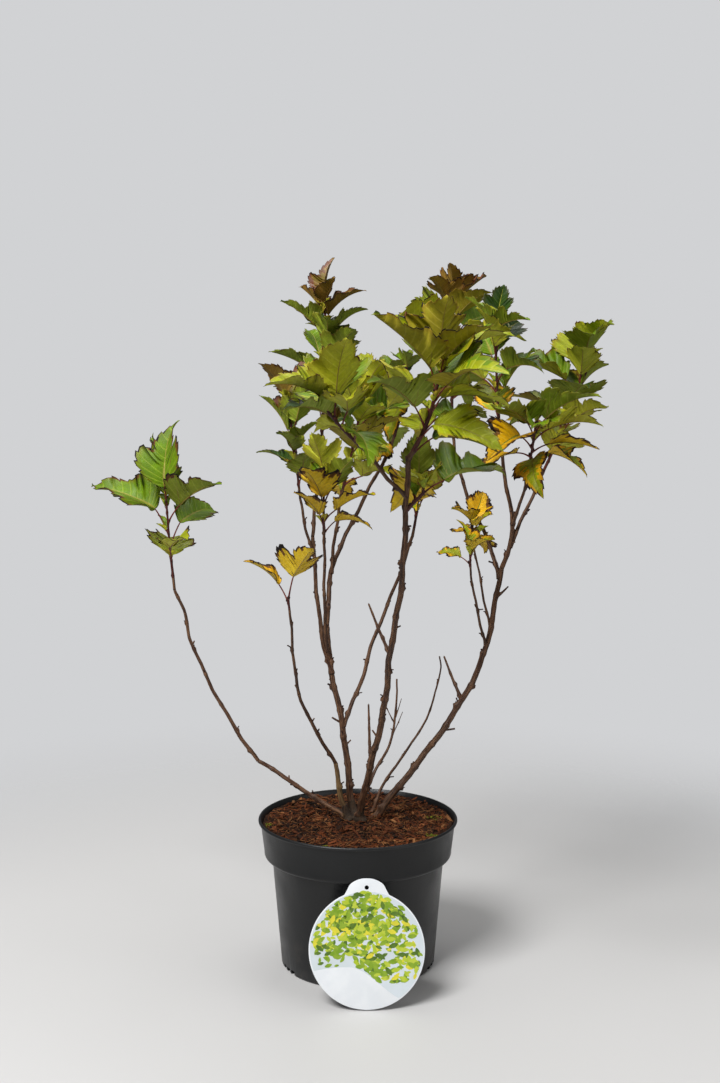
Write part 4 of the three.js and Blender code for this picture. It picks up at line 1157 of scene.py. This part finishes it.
def freshBlade(blade, draw):  # the small ways in which one leaf differs from the next
    s = leafLook
    blade["ruffle"] = s["ruffle"] * vary(draw, s["ruffles"])
    blade["waves"] = vary(draw, s["waves"])
    blade["phase"] = draw()
    blade["twist"] = s["twist"] * (draw() * 2 - 1)
    blade["curl"] = s["curl"] * (draw() - 0.35)
    blade["width"] = mix(*s["width"], draw())
    blade["arch"] += s["arch"]


def openBlade(blade, shoot):  # the outer shoots' full-grown leaves hang further out from their axis
    blade["base"] = blade["foot"] + (blade["base"] - blade["foot"]) * shoot.get("spread", 1)
    crest = shoot.get("crest", 1) if blade["share"] > 0.7 else 1  # the top leaves are longer and narrower
    blade["length"] *= shoot.get("full", 1) * crest
    blade["width"] /= crest**1.2
    level, tilt = levelAcross(blade["along"]), -math.radians(shoot.get("tilt", 0))
    for way in ("along", "side", "face"):
        held = level * np.dot(level, blade[way])
        blade[way] = held + (blade[way] - held) * math.cos(tilt) + np.cross(level, blade[way]) * math.sin(tilt)


stalkLook = {
    "bow": 0.06, "into": 0.05, "taper": (1.35, 0.95, 0.8, 0.72, 0.68, 0.66, 0.66, 0.6, 0.3), "full": 45,
    "ribless": 24, "midrib": (0.5, 0.08), "midribTo": 0.94, "midribDrop": 0.32,
    "vein": (0.32, 0.06), "veinTo": 0.86, "veinDrop": 0.26, "veinOut": 0.4,
}


def stalkAndRibs(blade, seed):
    s = stalkLook
    length, foot, base = blade["length"], blade["foot"], blade["base"]
    away = base - foot
    bow = np.array([0, 0, s["bow"] * np.linalg.norm(away)])
    none = np.array([0.0])
    into = surfacePlaces(blade, none, np.array([s["into"]]), none, none)[0]
    line = spacedPoints([foot, foot + away * 0.5 + bow, base, into], 8)
    scale = min(1, length / s["full"])
    parts = [tubeShape(line, np.array(s["taper"]) * (0.35 + 0.65 * scale), 7, 2, seed)]
    if length < s["ribless"]:
        return parts
    up = np.linspace(0.0, s["midribTo"], 10)
    rib = surfacePlaces(blade, 0 * up, up, 0 * up, up) - blade["face"] * s["midribDrop"]
    parts.append(tubeShape(rib, np.linspace(*s["midrib"], 10) * scale, 4, 3, seed))
    t = np.linspace(0.02, s["veinTo"], 7)
    rise = 0.02 + 0.48 * t - 0.02 * np.sin(math.pi * t)
    for way in (-1, 1):
        out = way * s["veinOut"] * t * blade["width"]
        vein = surfacePlaces(blade, out, rise, t, 0 * t + 0.45) - blade["face"] * s["veinDrop"]
        parts.append(tubeShape(vein, np.linspace(*s["vein"], 7) * scale, 4, 3, seed))
    return parts


def sprout(foot, heading, climb, size, look, draw, seed):  # one small young leaf with its stalk
    s = leafLook
    along = direction(heading, climb)
    side, base = levelAcross(along), foot + along * size * s["youngStalk"]
    blade = {
        "foot": foot, "base": base, "along": along, "side": side, "face": np.cross(side, along), "length": size,
        "fold": vary(draw, s["youngFold"]), "arch": vary(draw, s["youngArch"]),
    }
    freshBlade(blade, draw)
    blade["width"] *= s["youngWidth"]
    return [bendLeaf(blade, youngLeaf, dressLeaf(youngLeaf, look, draw))], stalkAndRibs(blade, seed)


shootLook = {
    "columns": 10, "step": 2, "ease": 0.8, "brownFoot": 0.12, "axils": 0.4, "axilLooks": ("fresh", "lime", "bronze"),
    "axilTurns": (-34, 30), "axilSize": (9, 9), "axilClimb": (48, 24), "tipLeaves": 3, "tipTurn": (70, 130),
    "tipSize": (8, 8), "tipClimb": (58, 22), "lowest": 0.34, "middle": 0.72, "bud": 3.4, "tipBud": 4.0,
}


def shootAxis(shoot, leaves, own):  # the shoot's own stem, thicker where each leaf leaves it
    s = shootLook
    columns, length = s["columns"], curveLength(shoot["points"])
    axis = spacedPoints(shoot["path"], max(24, int(length / s["step"])))
    run = np.linspace(0, length, len(axis))
    thick = mix(*shoot["thick"], (run / run[-1]) ** s["ease"])[:, None] * np.ones(columns)
    closest = [np.argmin(np.linalg.norm(axis - leaf["foot"], axis=1)) for leaf in leaves]
    feet = [(float(i) / (len(axis) - 1) * run[-1], 2.5 * k) for k, i in enumerate(closest)]
    angle = np.arange(columns) / columns * 2 * math.pi
    thick = thick * reliefAt(run[:, None], angle[None], feet, own + 90) ** 0.8
    shape = tubeShape(axis, thick, columns, 1, own)
    if "at" not in shoot:  # where it goes on from a limb, its foot still has brown bark
        shape["slots"][: columns * math.ceil(s["brownFoot"] * len(axis))] = 0
    return axis, shape


def makeShoot(shoot, own):
    s = shootLook
    draw = seededRandom(shoot["seed"] * 7 + 5)
    leaves = growLeaves(shoot, own)
    bands = moods[shoot["mood"]]
    axis, stem = shootAxis(shoot, leaves, own)
    leafParts, twigParts = [], [stem]
    for k, blade in enumerate(leaves):
        freshBlade(blade, draw)
        openBlade(blade, shoot)
        share, heading = blade["share"], blade["heading"]
        band = bands[0 if share < s["lowest"] else 1 if share < s["middle"] else 2]
        look = band[int(draw() * len(band)) % len(band)]
        shape = fullLeaves[int(draw() * len(fullLeaves)) % len(fullLeaves)]
        leafParts.append(bendLeaf(blade, shape, dressLeaf(shape, look, draw, shoot.get("scorch", 1.0))))
        twigParts += stalkAndRibs(blade, k)
        axil = blade["foot"] + direction(heading, 50) * 1.6
        if draw() < shoot.get("axils", s["axils"]):
            for turn in s["axilTurns"]:
                size, climb = vary(draw, s["axilSize"]), vary(draw, s["axilClimb"])
                look = s["axilLooks"][int(draw() * 3) % 3]
                leaf, stalk = sprout(axil, heading + turn, climb, size, look, draw, k)
                leafParts += leaf
                twigParts += stalk
        else:
            twigParts.append(budShape(axil, direction(heading, 68), s["bud"], k))
    for k in range(shoot.get("tipLeaves", s["tipLeaves"])):
        climb, size = vary(draw, s["tipClimb"]), vary(draw, s["tipSize"])
        heading = shoot["turn"] + s["tipTurn"][0] + s["tipTurn"][1] * k
        leaf, stalk = sprout(axis[-1], heading, climb, size, bands[2][k % len(bands[2])], draw, k)
        leafParts += leaf
        twigParts += stalk
    twigParts.append(budShape(axis[-1] - np.array([0, 0, 0.6]), direction(shoot["turn"], 84), s["tipBud"], own))
    name = shoot["name"].replace("_leaves", "")
    leafMesh = meshFromParts(leafParts, name + "_blades", leafFinishes)
    finished(leafMesh, name + "_blades", shoot["name"])
    twigMesh = meshFromParts(twigParts, name + "_twigs", twigFinishes)
    setBarkPlace(twigMesh, joined(twigParts, "place", np.float32))
    finished(twigMesh, name + "_twigs", shoot["name"])
    return len(leaves)


print("leaves grown:", [makeShoot(shoot, own) for own, shoot in enumerate(tracedShoots)])


# ---- the nursery pot

potLook = {
    "height": 140, "base": 72.6, "bodyTop": 81.2, "collar": 35, "collarFoot": 88, "collarTop": 91.8,
    "lip": 94, "lipHeight": 3.2, "wall": 1.8, "floor": 2.5, "steps": 192, "slotGroups": 8, "slotsInGroup": 3,
    "firstGroup": 27, "slotPitch": 6.6, "slotWidth": 6.2, "slotHeight": 4.5, "edge": 1.2, "waist": 50,
    "inside": 134, "slotRound": 1.0, "sharp": 38,
}


potSkin = {
    "black": (12, 13, 14), "grey": (19, 20, 21), "blotch": (14.0, 0.8), "scuff": (78, 78, 76), "scuffShare": 0.22,
    # edgeSheen is a painted highlight laid along the pot's sharp edges and rims
    "dust": (112, 104, 94), "dustShare": 0.3, "dustTop": 0.05, "edgeSheen": (84, 86, 88), "edgeSheenShare": 0.55,
    "rough": (0.3, 0.42), "flow": 1.6, "relief": (0.35, 0.0003), "gloss": 0.36,
}


def potPlastic():  # black plastic with scuffs, dust round the foot and a painted highlight on its sharp edges
    s = potSkin
    material, tree = newFinish("potPlastic")
    here = objectPlace(tree)
    tone = blotched(tree, colour(*s["black"]), colour(*s["grey"]), s["blotch"])["Colour"]
    scuffs = fromTo(tree, noise(tree, here, 160.0, 5.0, 0.7, (1, 1, 0.25)), 0.62, 0.8)
    parts = tree.nodes.new("ShaderNodeSeparateXYZ")
    plug(tree, parts.inputs[0], here)
    low = fromTo(tree, parts.outputs[2], s["dustTop"], 0.0)
    dust = times(tree, low, fromTo(tree, noise(tree, here, 45.0, 4.0, 0.6), 0.4, 0.75))
    tone = blendColours(tree, times(tree, scuffs, s["scuffShare"]), tone, colour(*s["scuff"]))
    tone = blendColours(tree, times(tree, dust, s["dustShare"]), tone, colour(*s["dust"]))
    # painted highlight: the pointy edges and rims are made lighter, as if they catch the light
    edges = tree.nodes.new("ShaderNodeNewGeometry").outputs["Pointiness"]
    tone = blendColours(tree, fromTo(tree, edges, 0.53, 0.6, 0.0, s["edgeSheenShare"]), tone, colour(*s["edgeSheen"]))
    rough = fromTo(tree, noise(tree, here, 30.0, 3.0), 0.3, 0.7, *s["rough"])
    rough = maths(tree, "ADD", rough, times(tree, dust, 0.2))
    flow = times(tree, noise(tree, here, 60.0, 2.0, 0.5, (1, 1, 0.12)), s["flow"])
    grain = maths(tree, "ADD", noise(tree, here, 900.0, 2.0, 0.6), flow)
    return completed(material, tone, rough, (grain, *s["relief"]), s["gloss"])


def bodyRadius(height):
    p = potLook
    return mix(p["base"], p["bodyTop"], height / (p["height"] - p["collar"]))


def collarRadius(height):
    p = potLook
    return mix(p["collarFoot"], p["collarTop"], (height - p["height"] + p["collar"]) / (p["collar"] - p["lipHeight"]))


def potProfile():  # from the middle of the underside up the outside, over the lip and down the inside
    p = potLook
    height, lip, wall, floor, edge, inside = (p[k] for k in ("height", "lip", "wall", "floor", "edge", "inside"))
    bodyTop, collarFoot = p["bodyTop"], p["collarFoot"]
    ledge, lipFoot = height - p["collar"], height - p["lipHeight"]
    outer = [
        (0, 0), (p["base"] - edge, 0), (bodyRadius(edge), edge), (bodyRadius(p["waist"]), p["waist"]),
        (bodyTop, ledge - 1.5), (bodyTop + 0.4, ledge), (collarFoot - 0.9, ledge), (collarFoot, ledge + 0.9),
        (collarFoot + 0.5, ledge + 2.2), (collarRadius(ledge + 3), ledge + 3.0), (p["collarTop"], lipFoot),
    ]
    rim = [
        (lip - 0.3, lipFoot + 0.5), (lip, lipFoot + 1.1), (lip, height - 1.1), (lip - 0.4, height - 0.3),
        (lip - 1.0, height), (lip - 1.9, height), (lip - 2.4, height - 0.5),
    ]
    inner = [
        (collarRadius(inside) - wall, inside), (collarRadius(ledge + wall) - wall, ledge + wall),
        (bodyTop - wall, ledge + wall), (bodyRadius(floor) - wall, floor), (0, floor),
    ]
    return outer + rim + inner


def slotCutter():  # blocks with two rounded upper corners, in groups round the foot
    p = potLook
    cutter = bmesh.new()
    size = Matrix.Diagonal((4 * p["wall"] * mm, p["slotWidth"] * mm, 2 * p["slotHeight"] * mm, 1))
    out = Matrix.Translation((p["base"] * mm, 0, 0))
    for group, i in itertools.product(range(p["slotGroups"]), range(p["slotsInGroup"])):
        heading = p["firstGroup"] + 360 * group / p["slotGroups"] + (i - 1) * p["slotPitch"]
        turn = Matrix.Rotation(math.radians(heading), 4, "Z")
        made = bmesh.ops.create_cube(cutter, size=1.0, matrix=turn @ out @ size)["verts"]
        ups = {e for v in made for e in v.link_edges if all(w.co.z > 0 for w in e.verts)}
        ups = [e for e in ups if abs(e.verts[0].co.to_2d().length - e.verts[1].co.to_2d().length) > mm]
        bmesh.ops.bevel(cutter, geom=ups, offset=p["slotRound"] * mm, segments=3, profile=0.5, affect="EDGES",
                        material=-1)
    return cutter


shell = turnProfile(potProfile(), potLook["steps"])
finished(carved(shell, slotCutter(), "potShell", potPlastic(), potLook["sharp"]), "pot_shell", "pot")
print("pot turned")


# ---- the potting mix: a crumbly top with chips, fibres and a little moss

# moss patches are (x, y, reach)
soilLook = {
    "level": 136.5, "edge": 135.5, "flat": 46, "fall": 43, "bottom": 8, "gap": 0.3, "rings": 44, "steps": 150,
    "rough": 1.5, "chips": 2400, "fibres": 2300, "moss": ((-84, -14, 7), (-30, -80, 5), (68, -46, 6), (72, 6, 10)),
    "mossChips": 60, "seed": 61,
}
# body, second tone, roughness
mixTones = {
    "mixDark": ((46, 27, 17), (70, 43, 27), 0.95), "mixRusty": ((126, 68, 36), (94, 50, 27), 0.9),
    "mixTan": ((158, 108, 66), (130, 82, 46), 0.88), "mixBlack": ((24, 16, 12), (38, 25, 18), 0.95),
    "mixMoss": ((150, 156, 44), (104, 116, 34), 0.9),
}


def soilFinish(name, body, second, rough):
    material, tree = newFinish(name)
    here = objectPlace(tree)
    tone = blotched(tree, colour(*body), colour(*second), (170.0, 0.9))
    damp = blotched(tree, tone["Colour"], darker(body, 0.5), (26.0, 0.7))
    fine = fromTo(tree, noise(tree, here, 900.0, 4.0, 0.7), 0.35, 0.7)
    specked = blendColours(tree, times(tree, fine, 0.5), damp["Colour"], darker(body, 0.55))
    grain = noise(tree, here, 700.0, 4.0, 0.7)
    return completed(material, specked, dullness(tree, fine, rough, (-0.12, 0)), (grain, 0.9, 0.0009), 0.15)


def soilHeight(radius, heading):  # lumps of the mix over its level top
    s = soilLook
    low = s["level"] + (s["edge"] - s["level"]) * np.clip((radius - s["flat"]) / s["fall"], 0, 1)
    x, y = radius * np.cos(heading), radius * np.sin(heading)
    lumps = np.sin(x * 0.31 + 1.3) * np.cos(y * 0.27 - 0.4) + 0.6 * np.sin(x * 0.73 + y * 0.51)
    lumps = lumps + 0.5 * np.cos(y * 0.97 - x * 0.66 + 2.0)
    fine = np.sin(x * 2.1 + 3 * np.sin(y * 1.3)) * np.cos(y * 2.3 + 2 * np.sin(x * 1.7))
    return float(low + s["rough"] * (0.45 * lumps + 0.35 * fine))


chipLook = {
    "ragX": (0.7, 0.6), "ragY": (0.6, 0.7), "ragZ": 0.25, "lean": (("Y", 1.1), ("X", 0.9)), "long": (0.9, 1.3),
    "wide": (0.2, 0.35), "thick": (0.1, 0.16), "above": 0.3, "rise": 0.8, "kinds": (0.2, 0.72, 0.84),
    "size": (1.5, 5.5), "moss": (0.8, 1.2),
}
fibreLook = {
    "above": 0.4, "rise": 0.7, "climb": 26, "length": (2.5, 12), "bend": 0.5, "marks": (0, 0.33, 0.67, 1),
    "taper": (0.12, 0.2, 0.2, 0.08), "tones": (1, 1, 2, 1, 3, 2),
}


def chipShape(draw, x, y, size, slot):  # a split flake of bark
    s = chipLook
    bm = bmesh.new()
    made = bmesh.ops.create_cube(bm, size=1.0)["verts"]
    for v in made:
        v.co.x *= s["ragX"][0] + s["ragX"][1] * draw() * (0.45 if v.co.x > 0 else 1)
        v.co.y *= vary(draw, s["ragY"])
        v.co.z += s["ragZ"] * (draw() - 0.5)
    turn = Matrix.Rotation(draw() * 6.283, 4, "Z")
    for axis, lean in s["lean"]:
        turn = turn @ Matrix.Rotation((draw() - 0.5) * lean, 4, axis)
    long = size * vary(draw, s["long"])
    wide = size * (s["wide"][0] + s["wide"][1] * draw() ** 1.5)
    thick = size * vary(draw, s["thick"])
    height = soilHeight(np.hypot(x, y), np.arctan2(y, x)) + s["above"] + s["rise"] * draw()
    place = Matrix.Translation((x, y, height)) @ turn @ Matrix.Diagonal((long, wide, thick, 1))
    bmesh.ops.transform(bm, matrix=place, verts=bm.verts)
    shape = readShape(bm)
    bm.free()
    return {**shape, "spots": shape["spots"] * mm, "slots": np.full(len(shape["sizes"]), slot)}


def soilTop(rim):  # the plug of mix in the pot, its top made lumpy
    s, p = soilLook, potLook
    ledge, inset = p["height"] - p["collar"] + p["wall"] + s["gap"], p["wall"] + s["gap"]
    profile = [
        (0, s["bottom"]), (bodyRadius(s["bottom"]) - inset, s["bottom"]), (p["bodyTop"] - inset, ledge),
        (collarRadius(ledge) - inset, ledge),
    ]
    bm = turnProfile(profile + [(rim * k / s["rings"], s["level"]) for k in range(s["rings"], -1, -1)], s["steps"])
    for v in bm.verts:
        if v.co.z > (ledge + s["level"]) / 2 * mm:
            v.co.z = soilHeight(v.co.to_2d().length / mm, math.atan2(v.co.y, v.co.x)) * mm
    return bm


def soilChips(rim, draw):
    s, parts = soilLook, []
    for _ in range(s["chips"]):
        radius, heading = (rim - 2.5) * math.sqrt(draw()), draw() * 2 * math.pi
        kind = draw()
        slot = sum(kind >= share for share in chipLook["kinds"])
        size = chipLook["size"][0] + chipLook["size"][1] * draw() ** 3
        parts.append(chipShape(draw, radius * math.cos(heading), radius * math.sin(heading), size, slot))
    for x, y, reach in s["moss"]:
        for _ in range(s["mossChips"]):
            away, heading = reach * draw() ** 0.8, draw() * 2 * math.pi
            mx, my = x + away * math.cos(heading), y + away * 0.6 * math.sin(heading)
            if math.hypot(mx, my) < rim - 2:
                parts.append(chipShape(draw, mx, my, vary(draw, chipLook["moss"]), 4))
    return parts


def soilFibres(rim, draw):
    s, parts = fibreLook, []
    for k in range(soilLook["fibres"]):
        radius, heading = (rim - 4) * math.sqrt(draw()), draw() * 2 * math.pi
        height = soilHeight(radius, heading) + s["above"] + s["rise"] * draw()
        spot = np.array([radius * math.cos(heading), radius * math.sin(heading), height])
        way = direction(draw() * 360, s["climb"] * (draw() - 0.4))
        length = s["length"][0] + s["length"][1] * draw() ** 2.5
        bend = np.cross(way, (0, 0, 1)) * (draw() - 0.5) * length * s["bend"]
        line = []
        for t in s["marks"]:
            arch = np.array([0, 0, 0.5 * math.sin(3 * t)])
            line.append(spot + way * length * t + bend * math.sin(math.pi * t) + arch)
        line = np.array(line)
        if np.hypot(line[:, 0], line[:, 1]).max() < rim - 1.5:
            thick = np.array(s["taper"]) * (0.8 + draw())
            parts.append(tubeShape(line, thick, 4, s["tones"][int(draw() * 6) % 6], k))
    return parts


def makeSoil():
    rim = collarRadius(soilLook["edge"]) - potLook["wall"] - soilLook["gap"]
    finishes = [soilFinish(name, *tones) for name, tones in mixTones.items()]
    draw = seededRandom(soilLook["seed"])
    pieces = {"top": meshFromBmesh(soilTop(rim), "potting_mix_top", finishes[:1])}
    for kind, parts in (("chips", soilChips(rim, draw)), ("fibres", soilFibres(rim, draw))):
        pieces[kind] = meshFromParts(parts, "potting_mix_" + kind, finishes, False)
    for kind, mesh in pieces.items():
        finished(mesh, "potting_mix_" + kind, "potting_mix")


makeSoil()
print("potting mix laid")


# ---- the hang label: a round card with a tab, its print a plain band and a loose leaf pattern

# a sprig has so many leaves, each a step on and turned a little from the last
labelLook = {
    "radius": 51.5, "tabHalf": 20, "tabTop": 62, "hole": 1.9, "holeDrop": 8, "thick": 0.8, "foot": 117.4,
    "lean": 14.4, "offset": 8, "gap": 0.3, "segments": 320, "bevel": 0.12, "sharp": 25, "margin": 1.1,
    "printThick": 0.1, "printStand": 0.02, "bandTop": -20, "sprigs": 120, "sprigLeaves": 9, "sprigStep": 3.6,
    "sprigTurn": 7, "leafAngle": 58, "inkThick": 0.04, "inkStand": (0.05, 0.0015), "seed": 29,
}
# body, second tone, roughness, blotches to the metre
cardTones = {
    "cardWhite": ((228, 231, 234), (220, 224, 228), 0.38, 60.0),
    "cardPale": ((206, 214, 220), (196, 206, 206), 0.36, 40.0),
    "inkLeafGreen": ((116, 150, 34), (146, 170, 48), 0.36, 160.0),
    "inkLime": ((166, 186, 46), (190, 200, 70), 0.36, 160.0),
    "inkYellow": ((218, 208, 60), (196, 190, 52), 0.36, 160.0),
    "inkForest": ((74, 104, 34), (98, 126, 40), 0.36, 160.0),
}


def cardFinish(name, body, second, rough, scale):
    material, tree = newFinish(name)
    tone = blotched(tree, colour(*body), colour(*second), (scale, 0.7))
    shader = tree.nodes["Principled BSDF"]
    shader.inputs["Coat Weight"].default_value = 0.25
    shader.inputs["Coat Roughness"].default_value = 0.2
    grain = noise(tree, objectPlace(tree), 500.0, 2.0)
    return completed(material, tone["Colour"], dullness(tree, tone["Mask"], rough, (0, 0.1)), (grain, 0.12, 0.0002))


def tabPoint(share):  # the tab's edge from its left foot (0) over its top to its right foot (1)
    l = labelLook
    half, top, foot = l["tabHalf"], l["tabTop"], math.sqrt(l["radius"] ** 2 - l["tabHalf"] ** 2)
    marks = [(-half, foot), (-17.5, foot + 4.5), (-15.0, foot + 9), (-11.0, top - 2.6), (-5.5, top - 0.5)]
    marks = marks + [(0, top)] + [(-x, y) for x, y in reversed(marks)]
    return curveAt([np.array(m, dtype=float) for m in marks], share)


def standCard(bm):  # from the card's own plane to where it leans
    l = labelLook
    bmesh.ops.translate(bm, verts=bm.verts, vec=(0, l["radius"], 0))
    lean = Matrix.Rotation(math.pi / 2 - math.radians(l["lean"]), 4, "X")
    place = Matrix.Translation((l["offset"] * mm, -l["foot"] * mm, (l["gap"] + l["thick"]) * mm))
    bmesh.ops.transform(bm, matrix=place @ lean @ Matrix.Scale(mm, 4), verts=bm.verts)
    bmesh.ops.recalc_face_normals(bm, faces=bm.faces)
    return bm


def bandLine(x):  # the print's lower edge: a hump on the left that falls away to the right
    fall = min(max((x + 16) / 56, 0), 1)
    hump = 5 * math.cos((x + 20) / 22) * (x < -20) + 5 * (x >= -20)
    return labelLook["bandTop"] + hump - 30 * fall * fall * (3 - 2 * fall)


def cardShape():
    l = labelLook
    bm = bmesh.new()
    made = bmesh.ops.create_circle(bm, cap_ends=True, segments=l["segments"], radius=l["radius"])["verts"]
    reach = math.asin(l["tabHalf"] / l["radius"])
    for v in made:
        turn = math.atan2(v.co.x, v.co.y)
        if abs(turn) < reach:
            v.co.x, v.co.y = tabPoint((turn / reach + 1) / 2)
    thicken(bm, l["thick"])
    bmesh.ops.recalc_face_normals(bm, faces=bm.faces)
    sides = [(e, [f.normal.z for f in e.link_faces]) for e in bm.edges]
    rims = [e for e, tilts in sides if len(tilts) == 2 and abs(tilts[0] - tilts[1]) > 0.5]
    bmesh.ops.bevel(bm, geom=rims, offset=l["bevel"], segments=2, profile=0.5, affect="EDGES", material=-1)
    return standCard(bm)


def cordHole():
    l = labelLook
    bm = bmesh.new()
    place = Matrix.Translation((0, l["tabTop"] - l["holeDrop"], 0))
    bmesh.ops.create_cone(bm, cap_ends=True, segments=40, radius1=l["hole"], radius2=l["hole"], depth=6, matrix=place)
    return standCard(bm)


def printShape():  # the pale ground of the print above the plain band
    l = labelLook
    bm = bmesh.new()
    made = bmesh.ops.create_circle(bm, cap_ends=True, segments=120, radius=l["radius"] - l["margin"])["verts"]
    for v in made:
        v.co.z = l["printStand"]
        v.co.y = max(v.co.y, bandLine(v.co.x))
    thicken(bm, l["printThick"])
    return standCard(bm)


def sprigSpots(draw):  # loose sprigs of lens-shaped leaves over the upper part of the card
    l, spots = labelLook, []
    for k in range(l["sprigs"]):
        x, y = (draw() * 2 - 1) * 50, -42 + 92 * draw()
        heading = 90 + (draw() - 0.5) * 110
        for j in range(l["sprigLeaves"]):
            way = direction(heading + l["sprigTurn"] * j, 0)[:2]
            px, py = x + way[0] * l["sprigStep"] * j, y + way[1] * l["sprigStep"] * j
            turn = heading + (l["leafAngle"] if j % 2 else -l["leafAngle"]) + (draw() - 0.5) * 30
            size = 5.5 + 4.5 * draw() - 0.2 * j
            spots.append((px, py, turn, size, (0, 1, 0, 2, 1, 3, 0)[int(draw() * 7) % 7]))
    return spots


def inkedLeaves():
    l = labelLook
    bm = bmesh.new()
    low, step = l["inkStand"]
    for k, (x, y, turn, size, ink) in enumerate(sprigSpots(seededRandom(l["seed"]))):
        heading = math.radians(turn)
        ends = (x, y), (x + size * math.cos(heading), y + size * math.sin(heading))
        if any(math.hypot(*end) > l["radius"] - 1.4 or end[1] < bandLine(end[0]) + 1 for end in ends):
            continue
        before = len(bm.faces)
        made = bmesh.ops.create_circle(bm, cap_ends=True, segments=10, radius=size / 2)["verts"]
        for v in made:
            v.co.y *= 0.5 * (1 - (v.co.x / size * 2) ** 2 * 0.55)
            v.co.z = low + step * (k % 40)
        move = Matrix.Translation((x, y, 0)) @ Matrix.Rotation(heading, 4, "Z") @ Matrix.Translation((size / 2, 0, 0))
        bmesh.ops.transform(bm, matrix=move, verts=made)
        bm.faces.ensure_lookup_table()
        for f in bm.faces[before:]:
            f.material_index = ink
    thicken(bm, l["inkThick"])
    return standCard(bm)


def makeLabel():
    white, pale, *inks = (cardFinish(name, *tones) for name, tones in cardTones.items())
    sharp = labelLook["sharp"]
    card = carved(cardShape(), cordHole(), "cardDraft", white, sharp)
    finished(card, "label_card", "label")
    finished(meshFromBmesh(printShape(), "label_print", [pale], sharp), "label_print", "label")
    leaves = meshFromBmesh(inkedLeaves(), "label_leaves", inks)
    leaves.polygons.foreach_set("use_smooth", [False] * len(leaves.polygons))
    finished(leaves, "label_leaves", "label")


makeLabel()
print("label printed")


# ---- the floor and the light

stageLook = {
    "floor": 3.2, "fadeFrom": 0.32, "fadeTo": 1.0, "floorTone": (203, 202, 201),
    "air": (209, 210, 212), "airPower": 0.21,
    "lamps": (
        {"name": "key", "place": (-0.9, -1.3, 2.1), "aim": (0, 0, 0.35), "size": 1.0, "power": 72},
        {"name": "fill", "place": (1.6, -1.2, 1.0), "aim": (0, 0, 0.35), "size": 1.4, "power": 8},
        {"name": "top", "place": (0.2, 0.5, 2.2), "aim": (0, 0, 0.3), "size": 1.3, "power": 18},
    ),
}


def floorFinish():  # pale, and fading out with the distance from the pot
    s = stageLook
    material, tree = newFinish("paleFloor")
    shader = tree.nodes["Principled BSDF"]
    shader.inputs["Base Color"].default_value = (*colour(*s["floorTone"]), 1)
    shader.inputs["Roughness"].default_value = 0.55
    away = tree.nodes.new("ShaderNodeVectorMath")
    away.operation = "LENGTH"
    plug(tree, away.inputs[0], objectPlace(tree))
    plug(tree, shader.inputs["Alpha"], fromTo(tree, away.outputs["Value"], s["fadeTo"], s["fadeFrom"]))
    return material


def makeStage():
    s = stageLook
    bm = bmesh.new()
    bmesh.ops.create_circle(bm, cap_ends=True, segments=96, radius=s["floor"])
    floor = linked("floor", meshFromBmesh(bm, "floor", [floorFinish()]))
    for lamp in s["lamps"]:
        data = bpy.data.lights.new(lamp["name"], "AREA")
        data.size, data.energy = lamp["size"], lamp["power"]
        light = linked(lamp["name"], data)
        light.location = lamp["place"]
        light.rotation_euler = (Vector(lamp["aim"]) - Vector(lamp["place"])).to_track_quat("-Z", "Y").to_euler()
    world = bpy.data.worlds.new("air")
    world.use_nodes = True
    air = world.node_tree.nodes["Background"]
    air.inputs["Color"].default_value = (*colour(*s["air"]), 1)
    seen = world.node_tree.nodes.new("ShaderNodeLightPath").outputs["Is Camera Ray"]
    strength = fromTo(world.node_tree, seen, 0.0, 1.0, s["airPower"], 1.0, False)
    plug(world.node_tree, air.inputs["Strength"], strength)
    bpy.context.scene.world = world
    bpy.context.scene.view_settings.view_transform = "Standard"


makeStage()
print("stage lit")
